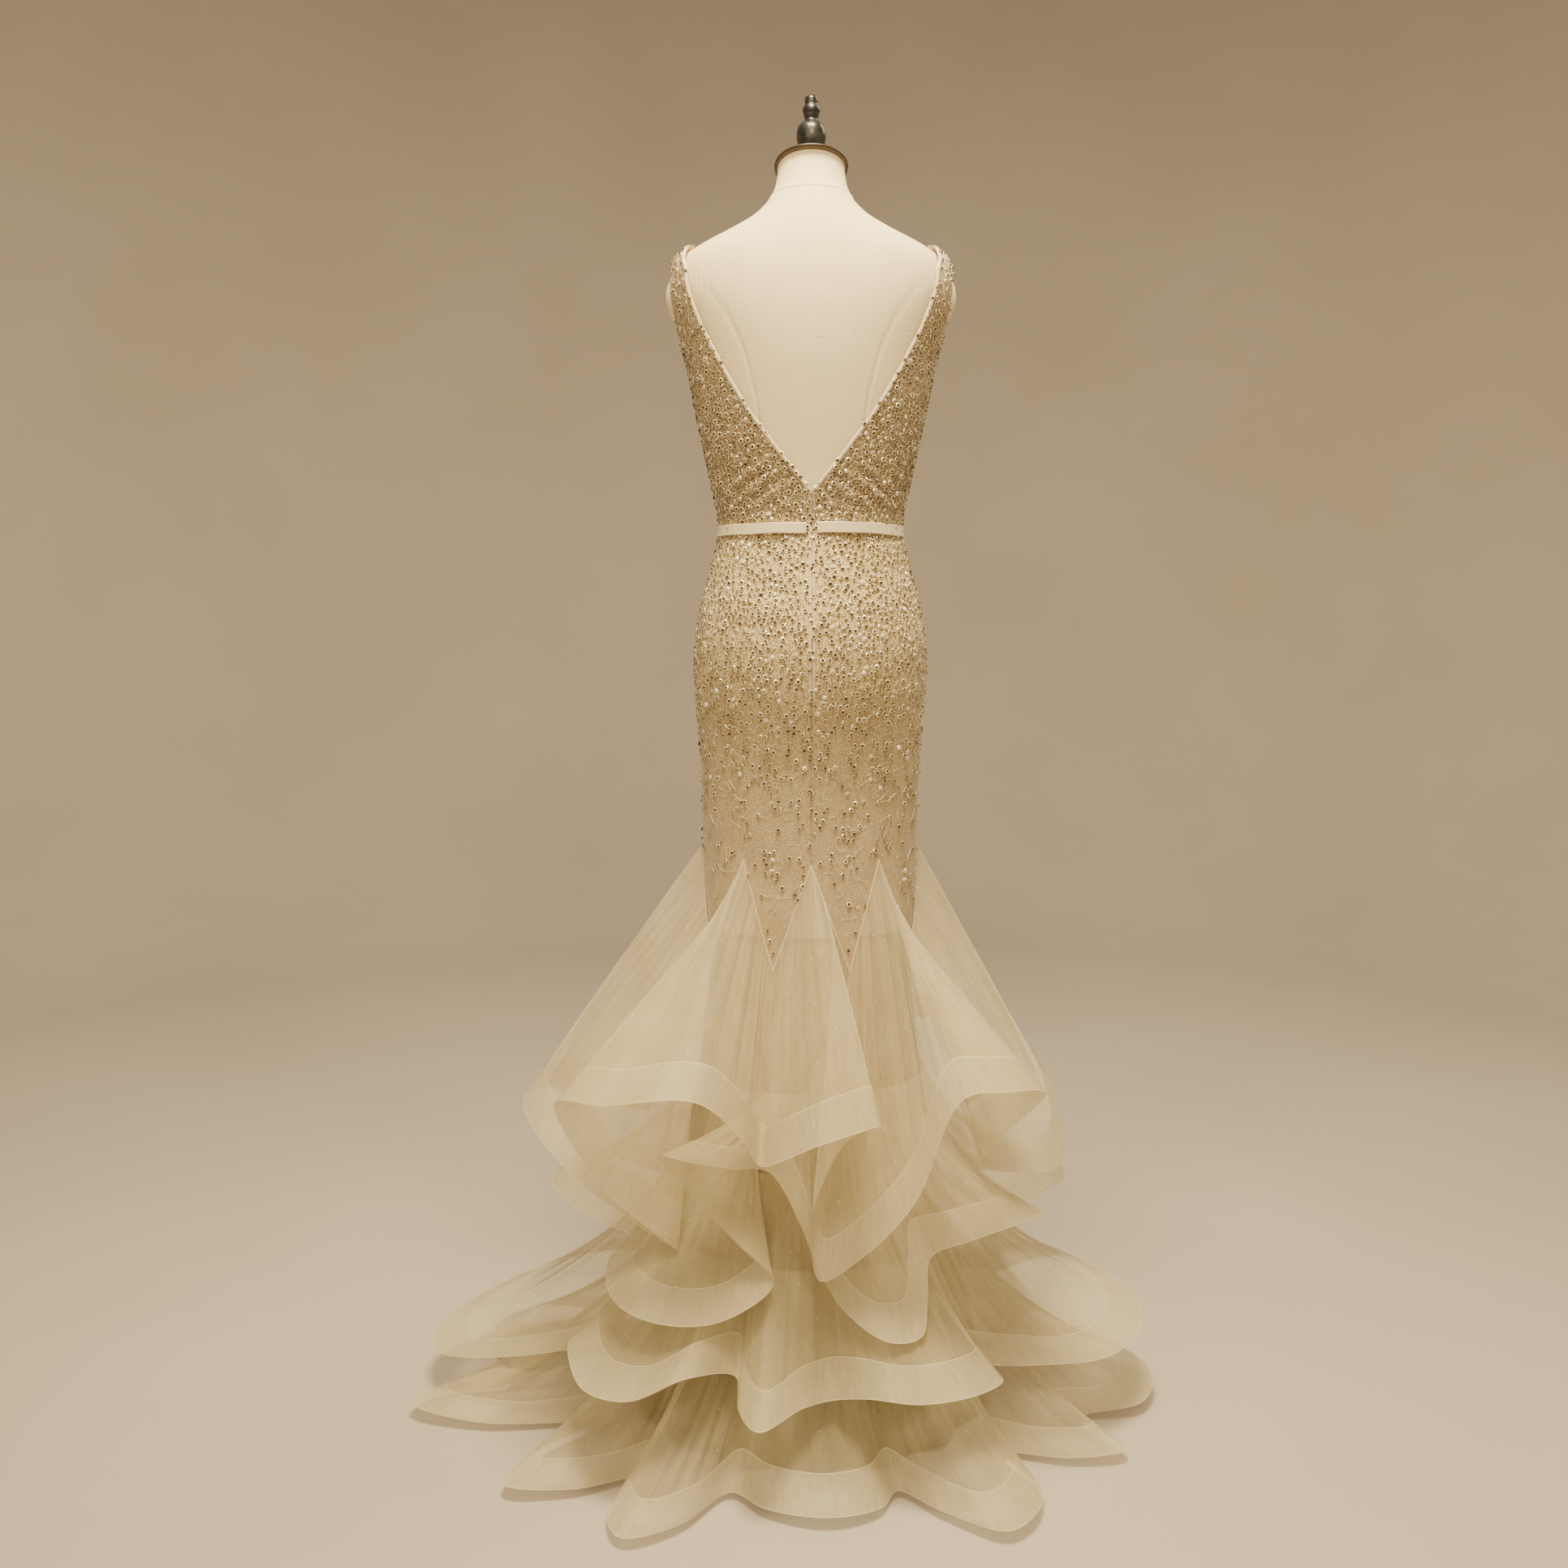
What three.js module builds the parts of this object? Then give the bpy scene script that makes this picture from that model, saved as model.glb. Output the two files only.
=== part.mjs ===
// A sleeveless mermaid evening gown standing on a dress form with a neck cap, pole and round base.
//
// The gown has a beaded bodice with a deep V back, a satin ribbon belt, an invisible zip and a beaded
// skirt that is close down to the knee. The skirt ends in eight pointed tongues. Eight sheer godets fill
// the notches between them and make the upper flounce. Three more flounces hang from a tulle underskirt,
// and every flounce is edged with a band of stiff horsehair braid that throws it into round flutes.
//
// Millimetres, +Z up. The origin is the centre of the base's underside, on the floor. The gown's back
// faces -Y and its front +Y. Azimuths are in degrees round the body: 0 is centre back, 90 is +X.

import * as THREE from "three";

// ---------------------------------------------------------------- driving sizes

const CLOTH = 1.5; // beaded cloth with its backing
const SHEER = 1.2; // tulle and organza walls
const BRAID = 1.2; // horsehair braid wall
const EASE = 1.5; // from the body section to the inside of the bodice and skirt
const FORM_SHY = 3; // from the body section in to the dress form
const GAP = 0.3; // between pieces at a seam
const LIFT = 0.4; // from a panel to what lies on it

const WAIST_Z = 1180;
const BELT_WIDTH = 15;
const NECK_SEAM_Z = 1604;
const FORM_BOTTOM_Z = 830;

// ---------------------------------------------------------------- the body and underskirt section

// Half width, depth behind and depth in front of the centre line, at each height: first the dress form
// from the neck to its lower edge, then the hanging skirt and the underskirt down to the floor.
const SECTIONS = [
  { z: 1668, half: 45, back: 40, front: 52 },
  { z: 1640, half: 46, back: 43, front: 54 },
  { z: 1616, half: 50, back: 52, front: 56 },
  { z: 1600, half: 59, back: 64, front: 60 },
  { z: 1580, half: 80, back: 78, front: 67 },
  { z: 1564, half: 108, back: 87, front: 75 },
  { z: 1544, half: 148, back: 96, front: 85 },
  { z: 1528, half: 171, back: 102, front: 92 },
  { z: 1508, half: 181, back: 107, front: 98 },
  { z: 1478, half: 182, back: 111, front: 104 },
  { z: 1445, half: 173, back: 112, front: 110 },
  { z: 1395, half: 158, back: 108, front: 113 },
  { z: 1344, half: 148, back: 100, front: 108 },
  { z: 1292, half: 137, back: 91, front: 98 },
  { z: 1240, half: 126, back: 83, front: 90 },
  { z: 1186, half: 117, back: 80, front: 86 },
  { z: 1134, half: 127, back: 92, front: 90 },
  { z: 1081, half: 141, back: 110, front: 94 },
  { z: 1027, half: 149, back: 121, front: 96 },
  { z: 973, half: 149, back: 120, front: 96 },
  { z: 919, half: 145, back: 109, front: 94 },
  { z: 864, half: 142, back: 101, front: 93 },
  { z: 809, half: 140, back: 98, front: 92 },
  { z: 750, half: 140, back: 100, front: 94 },
  { z: 680, half: 140, back: 104, front: 98 },
  { z: 611, half: 142, back: 109, front: 104 },
  { z: 520, half: 147, back: 121, front: 116 },
  { z: 400, half: 163, back: 145, front: 137 },
  { z: 280, half: 187, back: 171, front: 161 },
  { z: 140, half: 222, back: 203, front: 191 },
  { z: 0, half: 250, back: 232, front: 218 },
];

// The bust on the front of the form: two soft rounds either side of centre front.
const BUST = { z: 1378, reach: 18, azimuth: 27, spread: 25, height: 60 };

const radians = THREE.MathUtils.degToRad;

// One column of a table that falls in z, as a smooth curve through its rows.
function smoothly(table, z, key) {
  const last = table.length - 1;
  let i = 0;
  while (i < last - 1 && z < table[i + 1].z) i += 1;
  const row = (k) => table[Math.min(Math.max(k, 0), last)];
  const slope = (k) => {
    const [before, after] = [row(k - 1), row(k + 1)];
    return (after[key] - before[key]) / (after.z - before.z);
  };
  const [from, to] = [row(i), row(i + 1)];
  const span = to.z - from.z;
  const t = THREE.MathUtils.clamp((z - from.z) / span, 0, 1);
  const [t2, t3] = [t * t, t * t * t];
  return (
    from[key] * (2 * t3 - 3 * t2 + 1) +
    slope(i) * span * (t3 - 2 * t2 + t) +
    to[key] * (3 * t2 - 2 * t3) +
    slope(i + 1) * span * (t3 - t2)
  );
}

// How far the bust stands out of the plain section at an azimuth and height.
function bustAt(azimuth, z) {
  const side = Math.abs(180 - Math.abs(azimuth));
  const across = (side - BUST.azimuth) / BUST.spread;
  const up = (z - BUST.z) / BUST.height;
  return Math.abs(azimuth) > 90 ? BUST.reach * Math.exp(-across * across - up * up) : 0;
}

// A point on the bare section surface.
function sectionPoint(azimuth, z) {
  const a = radians(azimuth);
  const depth = smoothly(SECTIONS, z, Math.cos(a) > 0 ? "back" : "front");
  const point = new THREE.Vector3(
    smoothly(SECTIONS, z, "half") * Math.sin(a),
    -depth * Math.cos(a),
    z,
  );
  const bust = bustAt(azimuth, z);
  return point.add(new THREE.Vector3(Math.sin(a) * bust, -Math.cos(a) * bust, 0));
}

// The section surface's outward direction.
function sectionNormal(azimuth, z) {
  const step = 0.5;
  const round = sectionPoint(azimuth + step, z).sub(sectionPoint(azimuth - step, z));
  const up = sectionPoint(azimuth, z + step).sub(sectionPoint(azimuth, z - step));
  return round.cross(up).normalize();
}

// A point that stands out of the section surface by a distance.
const onBody = (azimuth, z, out) =>
  sectionPoint(azimuth, z).addScaledVector(sectionNormal(azimuth, z), out);

// ---------------------------------------------------------------- making closed walls

const gown = new THREE.Group();

const MATERIALS = {
  beaded: { color: 0xc9b48a, roughness: 0.45, metalness: 0.15 },
  lining: { color: 0xb39a74, roughness: 0.8, metalness: 0 },
  satin: { color: 0xe8d6b0, roughness: 0.35, metalness: 0 },
  tulle: { color: 0xd6c9a0, roughness: 0.9, metalness: 0 },
  braid: { color: 0xe0d6b8, roughness: 0.5, metalness: 0 },
  zip: { color: 0xe6d5ae, roughness: 0.4, metalness: 0.1 },
  linen: { color: 0xe9dcc0, roughness: 0.9, metalness: 0 },
  wood: { color: 0x2a1d17, roughness: 0.4, metalness: 0 },
  lacquer: { color: 0x17161a, roughness: 0.3, metalness: 0 },
  steel: { color: 0x8f9194, roughness: 0.35, metalness: 0.9 },
};

function add(name, geometry, look) {
  const mesh = new THREE.Mesh(geometry, new THREE.MeshStandardMaterial(MATERIALS[look]));
  mesh.name = name;
  gown.add(mesh);
  return mesh;
}

function geometryOf(points, triangles) {
  const geometry = new THREE.BufferGeometry().setFromPoints(points);
  geometry.setIndex(triangles.flat());
  return geometry;
}

// A closed wall between an outer and an inner sheet of like points. Faces are the outer sheet's polygons,
// counter-clockwise from outside, and the rim follows every edge that only one of them uses.
function wall(outer, inner, faces) {
  const n = outer.length;
  const triangles = [];
  const edges = new Map();
  for (const face of faces) {
    for (let k = 1; k < face.length - 1; k += 1) {
      const [a, b, c] = [face[0], face[k], face[k + 1]];
      triangles.push([a, b, c], [a + n, c + n, b + n]);
    }
    face.forEach((a, k) => {
      const b = face[(k + 1) % face.length];
      if (!edges.delete(b + "," + a)) edges.set(a + "," + b, [a, b]);
    });
  }
  for (const [a, b] of edges.values()) {
    triangles.push([b, a, a + n], [b, a + n, b + n]);
  }
  return geometryOf([...outer, ...inner], triangles);
}

// The polygons of patches of a grid, each patch a list of rows of point numbers. Rows run upwards
// or downwards as given by the sign, so that faces look outwards.
function gridFaces(rows, flip = false) {
  const faces = [];
  for (let i = 0; i < rows.length - 1; i += 1) {
    for (let j = 0; j < rows[i].length - 1; j += 1) {
      const face = [rows[i][j], rows[i][j + 1], rows[i + 1][j + 1], rows[i + 1][j]];
      faces.push(flip ? face.reverse() : face);
    }
  }
  return faces;
}

// A wall over rows of {azimuth, z} spots on the body, from one distance out to another.
// Patches that share spots are joined there into one cloth.
function bodyWall(patches, from, to) {
  const spots = [];
  const numbers = new Map();
  const numberOf = (spot) => {
    const key = spot.azimuth.toFixed(3) + "," + spot.z.toFixed(3);
    if (!numbers.has(key)) numbers.set(key, spots.push(spot) - 1);
    return numbers.get(key);
  };
  const faces = patches.flatMap(({ rows, flip }) =>
    gridFaces(
      rows.map((row) => row.map(numberOf)),
      flip,
    ),
  );
  return wall(
    spots.map((s) => onBody(s.azimuth, s.z, to)),
    spots.map((s) => onBody(s.azimuth, s.z, from)),
    faces,
  );
}

// Even steps from one number to another, ends included.
const steps = (from, to, count) =>
  Array.from({ length: count + 1 }, (_, k) => from + ((to - from) * k) / count);

// ---------------------------------------------------------------- bodice

// Each row of a bodice half runs from the edge at the centre or neckline to the side or armhole edge.
const BACK_ROWS = [
  { centreZ: WAIST_Z, centre: 0, sideZ: WAIST_Z, side: 90 },
  { centreZ: 1228, centre: 0, sideZ: 1232, side: 90 },
  { centreZ: 1269, centre: 15, sideZ: 1275, side: 90 },
  { centreZ: 1322, centre: 31, sideZ: 1325, side: 90 },
  { centreZ: 1384, centre: 45.5, sideZ: 1375, side: 90 },
  { centreZ: 1430, centre: 53, sideZ: 1420, side: 90 },
  { centreZ: 1468, centre: 56, sideZ: 1455, side: 78.5 },
  { centreZ: 1504, centre: 58.5, sideZ: 1490, side: 75.5 },
  { centreZ: 1530, centre: 67, sideZ: 1512, side: 80 },
  { centreZ: 1538, centre: 78, sideZ: 1517, side: 85 },
  { centreZ: 1543, centre: 90, sideZ: 1521, side: 90 },
];
const FRONT_ROWS = [
  { centreZ: WAIST_Z, centre: 180, sideZ: WAIST_Z, side: 90 },
  { centreZ: 1232, centre: 180, sideZ: 1232, side: 90 },
  { centreZ: 1290, centre: 180, sideZ: 1283, side: 90 },
  { centreZ: 1345, centre: 180, sideZ: 1332, side: 90 },
  { centreZ: 1386, centre: 180, sideZ: 1378, side: 90 },
  { centreZ: 1425, centre: 180, sideZ: 1420, side: 90 },
  { centreZ: 1452, centre: 160, sideZ: 1455, side: 101.5 },
  { centreZ: 1482, centre: 144, sideZ: 1490, side: 104.5 },
  { centreZ: 1516, centre: 126, sideZ: 1512, side: 100 },
  { centreZ: 1533, centre: 108, sideZ: 1517, side: 95 },
  { centreZ: 1543, centre: 90, sideZ: 1521, side: 90 },
];

const OUTSIDE = EASE + CLOTH; // the outer face of the beaded cloth

// An angle that spans a short distance along the cloth at a side seam.
const seamAngle = THREE.MathUtils.radToDeg(GAP / 2 / 108);

// The spots of one half, on the +X side. The seam edges stop half a gap short of their neighbours.
function bodiceHalf(table, columns, isBack) {
  return table.map((row, i) => {
    const shy = isBack ? -seamAngle : seamAngle;
    const centre = isBack && i < 2 ? row.centre - shy * 1.4 : row.centre;
    const atShoulder = i === table.length - 1;
    const from = atShoulder ? row.centre + shy * 2 : centre;
    const to = row.side + (atShoulder ? shy * 2 : row.side === 90 ? shy : 0);
    return steps(0, 1, columns).map((t) => ({
      azimuth: from + (to - from) * t,
      z: row.centreZ + (row.sideZ - row.centreZ) * t + (i === 0 ? GAP / 2 : 0),
    }));
  });
}

const mirrored = (rows) =>
  rows.map((row) => row.map((s) => ({ azimuth: s.azimuth === 180 ? 180 : -s.azimuth, z: s.z })));

const BACK_COLUMNS = 6;
const FRONT_COLUMNS = 8;
const backHalf = bodiceHalf(BACK_ROWS, BACK_COLUMNS, true);
const frontHalf = bodiceHalf(FRONT_ROWS, FRONT_COLUMNS, false);

add("bodice_back_right", bodyWall([{ rows: backHalf }], EASE, OUTSIDE), "beaded");
add("bodice_back_left", bodyWall([{ rows: mirrored(backHalf), flip: true }], EASE, OUTSIDE), "beaded");
add(
  "bodice_front",
  bodyWall(
    [{ rows: frontHalf, flip: true }, { rows: mirrored(frontHalf) }],
    EASE,
    OUTSIDE,
  ),
  "beaded",
);

// The binding: a narrow strip on the neckline edge, from the zip over the shoulder to centre front.
const BINDING_WIDTH = 5;
const FIRST_NECK_ROW = 1;
const FIRST_FRONT_NECK_ROW = 5;

// One row of the binding: the cloth's edge, and the spot a binding's width in from it.
function bindingRow(row, isBack, lastRow) {
  const inwards = isBack ? 1 : -1;
  const edge = { azimuth: row.centre, z: row.centreZ };
  if (lastRow) {
    return [edge, { azimuth: row.centre, z: row.centreZ - BINDING_WIDTH * 0.62 }];
  }
  const round = sectionPoint(row.centre + inwards, row.centreZ).distanceTo(
    sectionPoint(row.centre, row.centreZ),
  );
  return [edge, { azimuth: row.centre + (inwards * BINDING_WIDTH) / round, z: row.centreZ }];
}

const backBinding = BACK_ROWS.slice(FIRST_NECK_ROW).map((row, i, all) =>
  bindingRow({ ...row, centre: Math.max(row.centre, 0.2) }, true, i === all.length - 1),
);
const frontBinding = FRONT_ROWS.slice(FIRST_FRONT_NECK_ROW, -1)
  .reverse()
  .map((row) => bindingRow({ ...row, centre: Math.min(row.centre, 179.8) }, false, false));
const bindingRows = [...backBinding, ...frontBinding];
const BINDING_OUT = OUTSIDE + 1.2;

add(
  "neck_binding_right",
  bodyWall([{ rows: bindingRows }], BINDING_OUT, BINDING_OUT + 1),
  "satin",
);
add(
  "neck_binding_left",
  bodyWall([{ rows: mirrored(bindingRows), flip: true }], BINDING_OUT, BINDING_OUT + 1),
  "satin",
);

// ---------------------------------------------------------------- skirt with tongues, lining

// The skirt's lower edge: up at each notch, where a godet is let in, and down at each tongue.
const NOTCHES = [
  { azimuth: 0, z: 750 },
  { azimuth: 20, z: 613 },
  { azimuth: 38, z: 754 },
  { azimuth: 64, z: 613 },
  { azimuth: 90, z: 762 },
  { azimuth: 112, z: 613 },
  { azimuth: 135, z: 756 },
  { azimuth: 158, z: 613 },
  { azimuth: 180, z: 752 },
];

// The height of the skirt's lower edge at any azimuth.
function edgeZ(azimuth) {
  const turned = Math.abs(((azimuth + 540) % 360) - 180);
  const i = Math.min(
    NOTCHES.findLastIndex((n) => n.azimuth <= turned + 1e-9),
    NOTCHES.length - 2,
  );
  const [from, to] = [NOTCHES[i], NOTCHES[i + 1]];
  return from.z + ((to.z - from.z) * (turned - from.azimuth)) / (to.azimuth - from.azimuth);
}

const SKIRT_HEIGHTS = [WAIST_Z - GAP / 2, 1134, 1081, 1027, 973, 900, 830, 772];

// Rows of spots of a skirt panel between two notches. Each tongue's slope has a middle column.
function skirtRows(first, last) {
  const edge = NOTCHES.slice(first, last + 1).map((n) => n.azimuth);
  const columns = edge.flatMap((a, i) => (i ? [(edge[i - 1] + a) / 2, a] : [a]));
  const inset = columns.map((a, i) => {
    if (i === 0) return a + seamAngle;
    return i === columns.length - 1 && a !== 180 ? a - seamAngle : a;
  });
  const upper = SKIRT_HEIGHTS.map((z) => inset.map((azimuth) => ({ azimuth, z })));
  return [...upper, inset.map((azimuth, i) => ({ azimuth, z: edgeZ(columns[i]) }))];
}

const backSkirt = skirtRows(0, 4);
const frontSkirt = skirtRows(4, 8);
add("skirt_back_right", bodyWall([{ rows: backSkirt, flip: true }], EASE, OUTSIDE), "beaded");
add("skirt_back_left", bodyWall([{ rows: mirrored(backSkirt) }], EASE, OUTSIDE), "beaded");
add(
  "skirt_front",
  bodyWall([{ rows: frontSkirt, flip: true }, { rows: mirrored(frontSkirt) }], EASE, OUTSIDE),
  "beaded",
);

// The panels' columns all round, which the lining and underskirt keep so that they lie evenly inside.
const HALF_ROUND = NOTCHES.flatMap((n, i) => (i ? [(NOTCHES[i - 1].azimuth + n.azimuth) / 2, n.azimuth] : [0]));
const ROUND = [...HALF_ROUND, ...HALF_ROUND.slice(1, -1).reverse().map((a) => 360 - a)];

// A closed tube on the section surface, open above and below. Each row has a height and how far out its
// outer face is. Every other column is folded inwards by the row's fold.
function tube(table) {
  const sheet = (thick) =>
    table.flatMap(({ z, out, fold }) =>
      ROUND.map((azimuth, j) => onBody(azimuth > 180 ? azimuth - 360 : azimuth, z, out - thick - (j % 2) * fold)),
    );
  const n = ROUND.length;
  const rows = table.map((_, i) => [...Array(n + 1)].map((__, j) => i * n + (j % n)));
  return wall(sheet(0), sheet(SHEER), gridFaces(rows, true));
}

const LINING_OUT = EASE - 3 * LIFT;
const LINING = [
  { z: 826, out: LINING_OUT, fold: 0 },
  { z: 772, out: LINING_OUT, fold: 0 },
  { z: 658, out: LINING_OUT, fold: 0 },
];
add("skirt_lining", tube(LINING), "lining");

// ---------------------------------------------------------------- belt, zip, hook

const BELT_OUT = OUTSIDE + 1.7; // clear of the panels, which curve in to the waist
const BELT_END = 3.3; // azimuth of each end, beside the zip
const BELT_STAND_OFF = { azimuth: 24, spread: 15, reach: 3.5 }; // where the ribbon bows away at the back

function beltOut(azimuth) {
  const off = (Math.abs(azimuth) - BELT_STAND_OFF.azimuth) / BELT_STAND_OFF.spread;
  return BELT_OUT + BELT_STAND_OFF.reach * Math.exp(-off * off);
}

function beltWall() {
  const azimuths = steps(BELT_END, 360 - BELT_END, 40).map((a) => (a > 180 ? a - 360 : a));
  const heights = [WAIST_Z - BELT_WIDTH / 2, WAIST_Z + BELT_WIDTH / 2];
  const sheet = (out) => heights.flatMap((z) => azimuths.map((a) => onBody(a, z, beltOut(a) + out)));
  const n = azimuths.length;
  const rows = heights.map((_, i) => azimuths.map((__, j) => i * n + j));
  return wall(sheet(1), sheet(0), gridFaces(rows));
}
add("belt_ribbon", beltWall(), "satin");

// The zip's two smooth edges lie on the back panels each side of centre back.
const ZIP_TOP_Z = 1227;
const ZIP_BOTTOM_Z = 973;
const ZIP_EDGE_WIDTH = 3.9;
const ZIP_OUT = OUTSIDE + LIFT;
const ZIP_THICK = 0.9;

function zipEdge(side) {
  const heights = [ZIP_BOTTOM_Z, 1027, 1081, 1134, WAIST_Z, ZIP_TOP_Z];
  const rows = heights.map((z) => {
    const perMillimetre = 1 / radians(smoothly(SECTIONS, z, "half")) ;
    return [GAP / 2, ZIP_EDGE_WIDTH].map((x) => ({ azimuth: side * x * perMillimetre, z }));
  });
  return bodyWall([{ rows, flip: side < 0 }], ZIP_OUT, ZIP_OUT + ZIP_THICK);
}
add("zip_edge_right", zipEdge(1), "zip");
add("zip_edge_left", zipEdge(-1), "zip");

// The slider is a small flat body with a bridge on it, and the pull tab hangs on the bridge.
const SLIDER = { z: 1214.5, width: 5.4, height: 7.5, thick: 1.6 };
const BRIDGE = { reach: 3, wire: 1, height: 4.4, width: 1.2 };
const TAB = { width: 4.2, length: 13, thick: 0.8, bar: 0.7, ring: 2.8 };

// How far behind the centre line the zip edges' faces are, on their straight run above the waist.
function zipFace(z) {
  const [low, high] = [WAIST_Z, ZIP_TOP_Z].map((at) => -onBody(0, at, ZIP_OUT + ZIP_THICK).y);
  return low + ((high - low) * (z - WAIST_Z)) / (ZIP_TOP_Z - WAIST_Z);
}
const sliderBack = zipFace(SLIDER.z + SLIDER.height / 2) + LIFT;

function rounded(width, height, radius) {
  const [x, z] = [width / 2, height / 2];
  const shape = new THREE.Shape();
  shape.moveTo(-x + radius, -z);
  shape.lineTo(x - radius, -z);
  shape.absarc(x - radius, -z + radius, radius, -Math.PI / 2, 0);
  shape.lineTo(x, z - radius);
  shape.absarc(x - radius, z - radius, radius, 0, Math.PI / 2);
  shape.lineTo(-x + radius, z);
  shape.absarc(-x + radius, z - radius, radius, Math.PI / 2, Math.PI);
  shape.lineTo(-x, -z + radius);
  shape.absarc(-x + radius, -z + radius, radius, Math.PI, 1.5 * Math.PI);
  return shape;
}

// Stands an extruded flat shape up in the XZ plane, its near face at a distance behind the centre line.
function standing(shape, thick, behind, z, curveSegments = 3) {
  const geometry = new THREE.ExtrudeGeometry(shape, { depth: thick, bevelEnabled: false, curveSegments });
  geometry.rotateX(Math.PI / 2);
  geometry.translate(0, -behind, z);
  return geometry;
}

// The slider's outline from the side: a flat body with the bridge as an arch on its outer face.
function sliderGeometry() {
  const outline = new THREE.Shape();
  const [h, b] = [SLIDER.height / 2, BRIDGE.height / 2];
  const outer = SLIDER.thick + BRIDGE.reach;
  outline.moveTo(0, -h);
  outline.lineTo(SLIDER.thick, -h);
  outline.lineTo(SLIDER.thick, -b);
  outline.lineTo(outer, -b + 0.8);
  outline.lineTo(outer, b - 0.8);
  outline.lineTo(SLIDER.thick, b);
  outline.lineTo(SLIDER.thick, h);
  outline.lineTo(0, h);
  const eye = new THREE.Path();
  const [near, far] = [SLIDER.thick + 0.1, outer - BRIDGE.wire];
  eye.moveTo(near, -b + BRIDGE.wire);
  eye.lineTo(near, b - BRIDGE.wire);
  eye.lineTo(far, b - BRIDGE.wire - 0.2);
  eye.lineTo(far, -b + BRIDGE.wire + 0.2);
  outline.holes.push(eye);
  const geometry = new THREE.ExtrudeGeometry(outline, { depth: BRIDGE.width, bevelEnabled: false });
  // The outline's x becomes -Y and its y becomes Z, and the depth lies along X, centred.
  const basis = new THREE.Matrix4().makeBasis(
    new THREE.Vector3(0, -1, 0),
    new THREE.Vector3(0, 0, 1),
    new THREE.Vector3(-1, 0, 0),
  );
  geometry.applyMatrix4(basis);
  geometry.translate(BRIDGE.width / 2, -sliderBack, SLIDER.z);
  return geometry;
}
add("zip_slider", sliderGeometry(), "zip");

// The tab's top bar passes through the bridge's eye, so the tab turns about a line across the zip.
const TAB_BAR_Z = SLIDER.z + 0.2;
const TAB_BAR_BEHIND = sliderBack + SLIDER.thick + 0.1 + (BRIDGE.reach - BRIDGE.wire - 0.1) / 2;

function tabGeometry() {
  const shape = rounded(TAB.width, TAB.length, 1.2);
  const hole = new THREE.Path();
  const [x, z] = [TAB.width / 2 - 0.9, TAB.length / 2 - TAB.bar];
  hole.moveTo(-x, z);
  hole.lineTo(x, z);
  hole.lineTo(x, z - TAB.ring);
  hole.lineTo(-x, z - TAB.ring);
  shape.holes.push(hole);
  const middleZ = TAB_BAR_Z + TAB.bar / 2 - TAB.length / 2;
  return standing(shape, TAB.thick, TAB_BAR_BEHIND - TAB.thick / 2, middleZ);
}
add("zip_pull_tab", tabGeometry(), "zip");

// The hook at the top of the opening, a small flat wire hook lying on both zip edges.
const TOP_HOOK_Z = 1223;
add(
  "top_hook",
  standing(rounded(5, 2.4, 1), 0.8, zipFace(TOP_HOOK_Z + 1.2) + LIFT, TOP_HOOK_Z),
  "steel",
);

// ---------------------------------------------------------------- underskirt

// The underskirt hangs from inside the lining. Its soft folds grow to their full depth at the floor.
const UNDER_LINING = LINING_OUT - SHEER - LIFT;
const UNDERSKIRT = [
  { z: 740, out: UNDER_LINING, fold: 0 },
  { z: 658, out: UNDER_LINING, fold: 0 },
  { z: 560, out: -3, fold: 2 },
  { z: 460, out: 0, fold: 4 },
  { z: 360, out: 0, fold: 6 },
  { z: 245, out: 0, fold: 8 },
  { z: 140, out: 0, fold: 10 },
  { z: 8, out: 0, fold: 14 },
];
add("tulle_underskirt", tube(UNDERSKIRT), "tulle");

// ---------------------------------------------------------------- flounces

// A hem is a closed curve through rows, in order round the body. Each row has the azimuth where its
// column of cloth starts in the seam above, then the azimuth, reach and height of its point on the hem. A
// flute rolls under where the azimuth runs backwards.
const GODET_HEM = [
  // seam, azimuth, reach, z
  [-150, -150, 285, 430], [-140, -141, 320, 465], [-128, -128, 330, 455], [-120, -117, 300, 400],
  [-112, -112, 248, 365], [-104, -106, 320, 380], [-96, -98, 370, 410], [-86, -85, 388, 420],
  [-78, -72, 372, 400], [-71, -60, 330, 350], [-64, -41, 255, 280], [-58, -51, 325, 357],
  [-52, -57, 378, 470], [-44, -41, 372, 495], [-33, -24, 337, 508], [-26, -18, 288, 455],
  [-20, -16, 236, 402], [-12, -8, 278, 425], [-3, 1, 312, 458], [5, 15, 300, 474],
  [10, 9, 250, 440], [15, 0, 238, 345], [20, 2, 240, 262], [28, 14, 262, 300], [36, 25, 292, 372],
  [43, 33, 325, 500], [49, 41, 347, 505], [55, 55, 350, 482], [59, 53, 296, 420],
  [64, 54, 268, 375], [72, 63, 322, 362], [80, 78, 345, 350], [90, 92, 350, 372],
  [98, 104, 345, 420], [105, 108, 285, 400], [112, 112, 246, 370], [120, 118, 305, 400],
  [128, 128, 330, 450], [138, 140, 320, 460], [148, 150, 285, 440], [158, 156, 226, 375],
  [166, 164, 272, 420], [174, 174, 300, 465], [184, 186, 300, 465], [194, 198, 272, 420],
  [202, 206, 226, 375],
];
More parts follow.
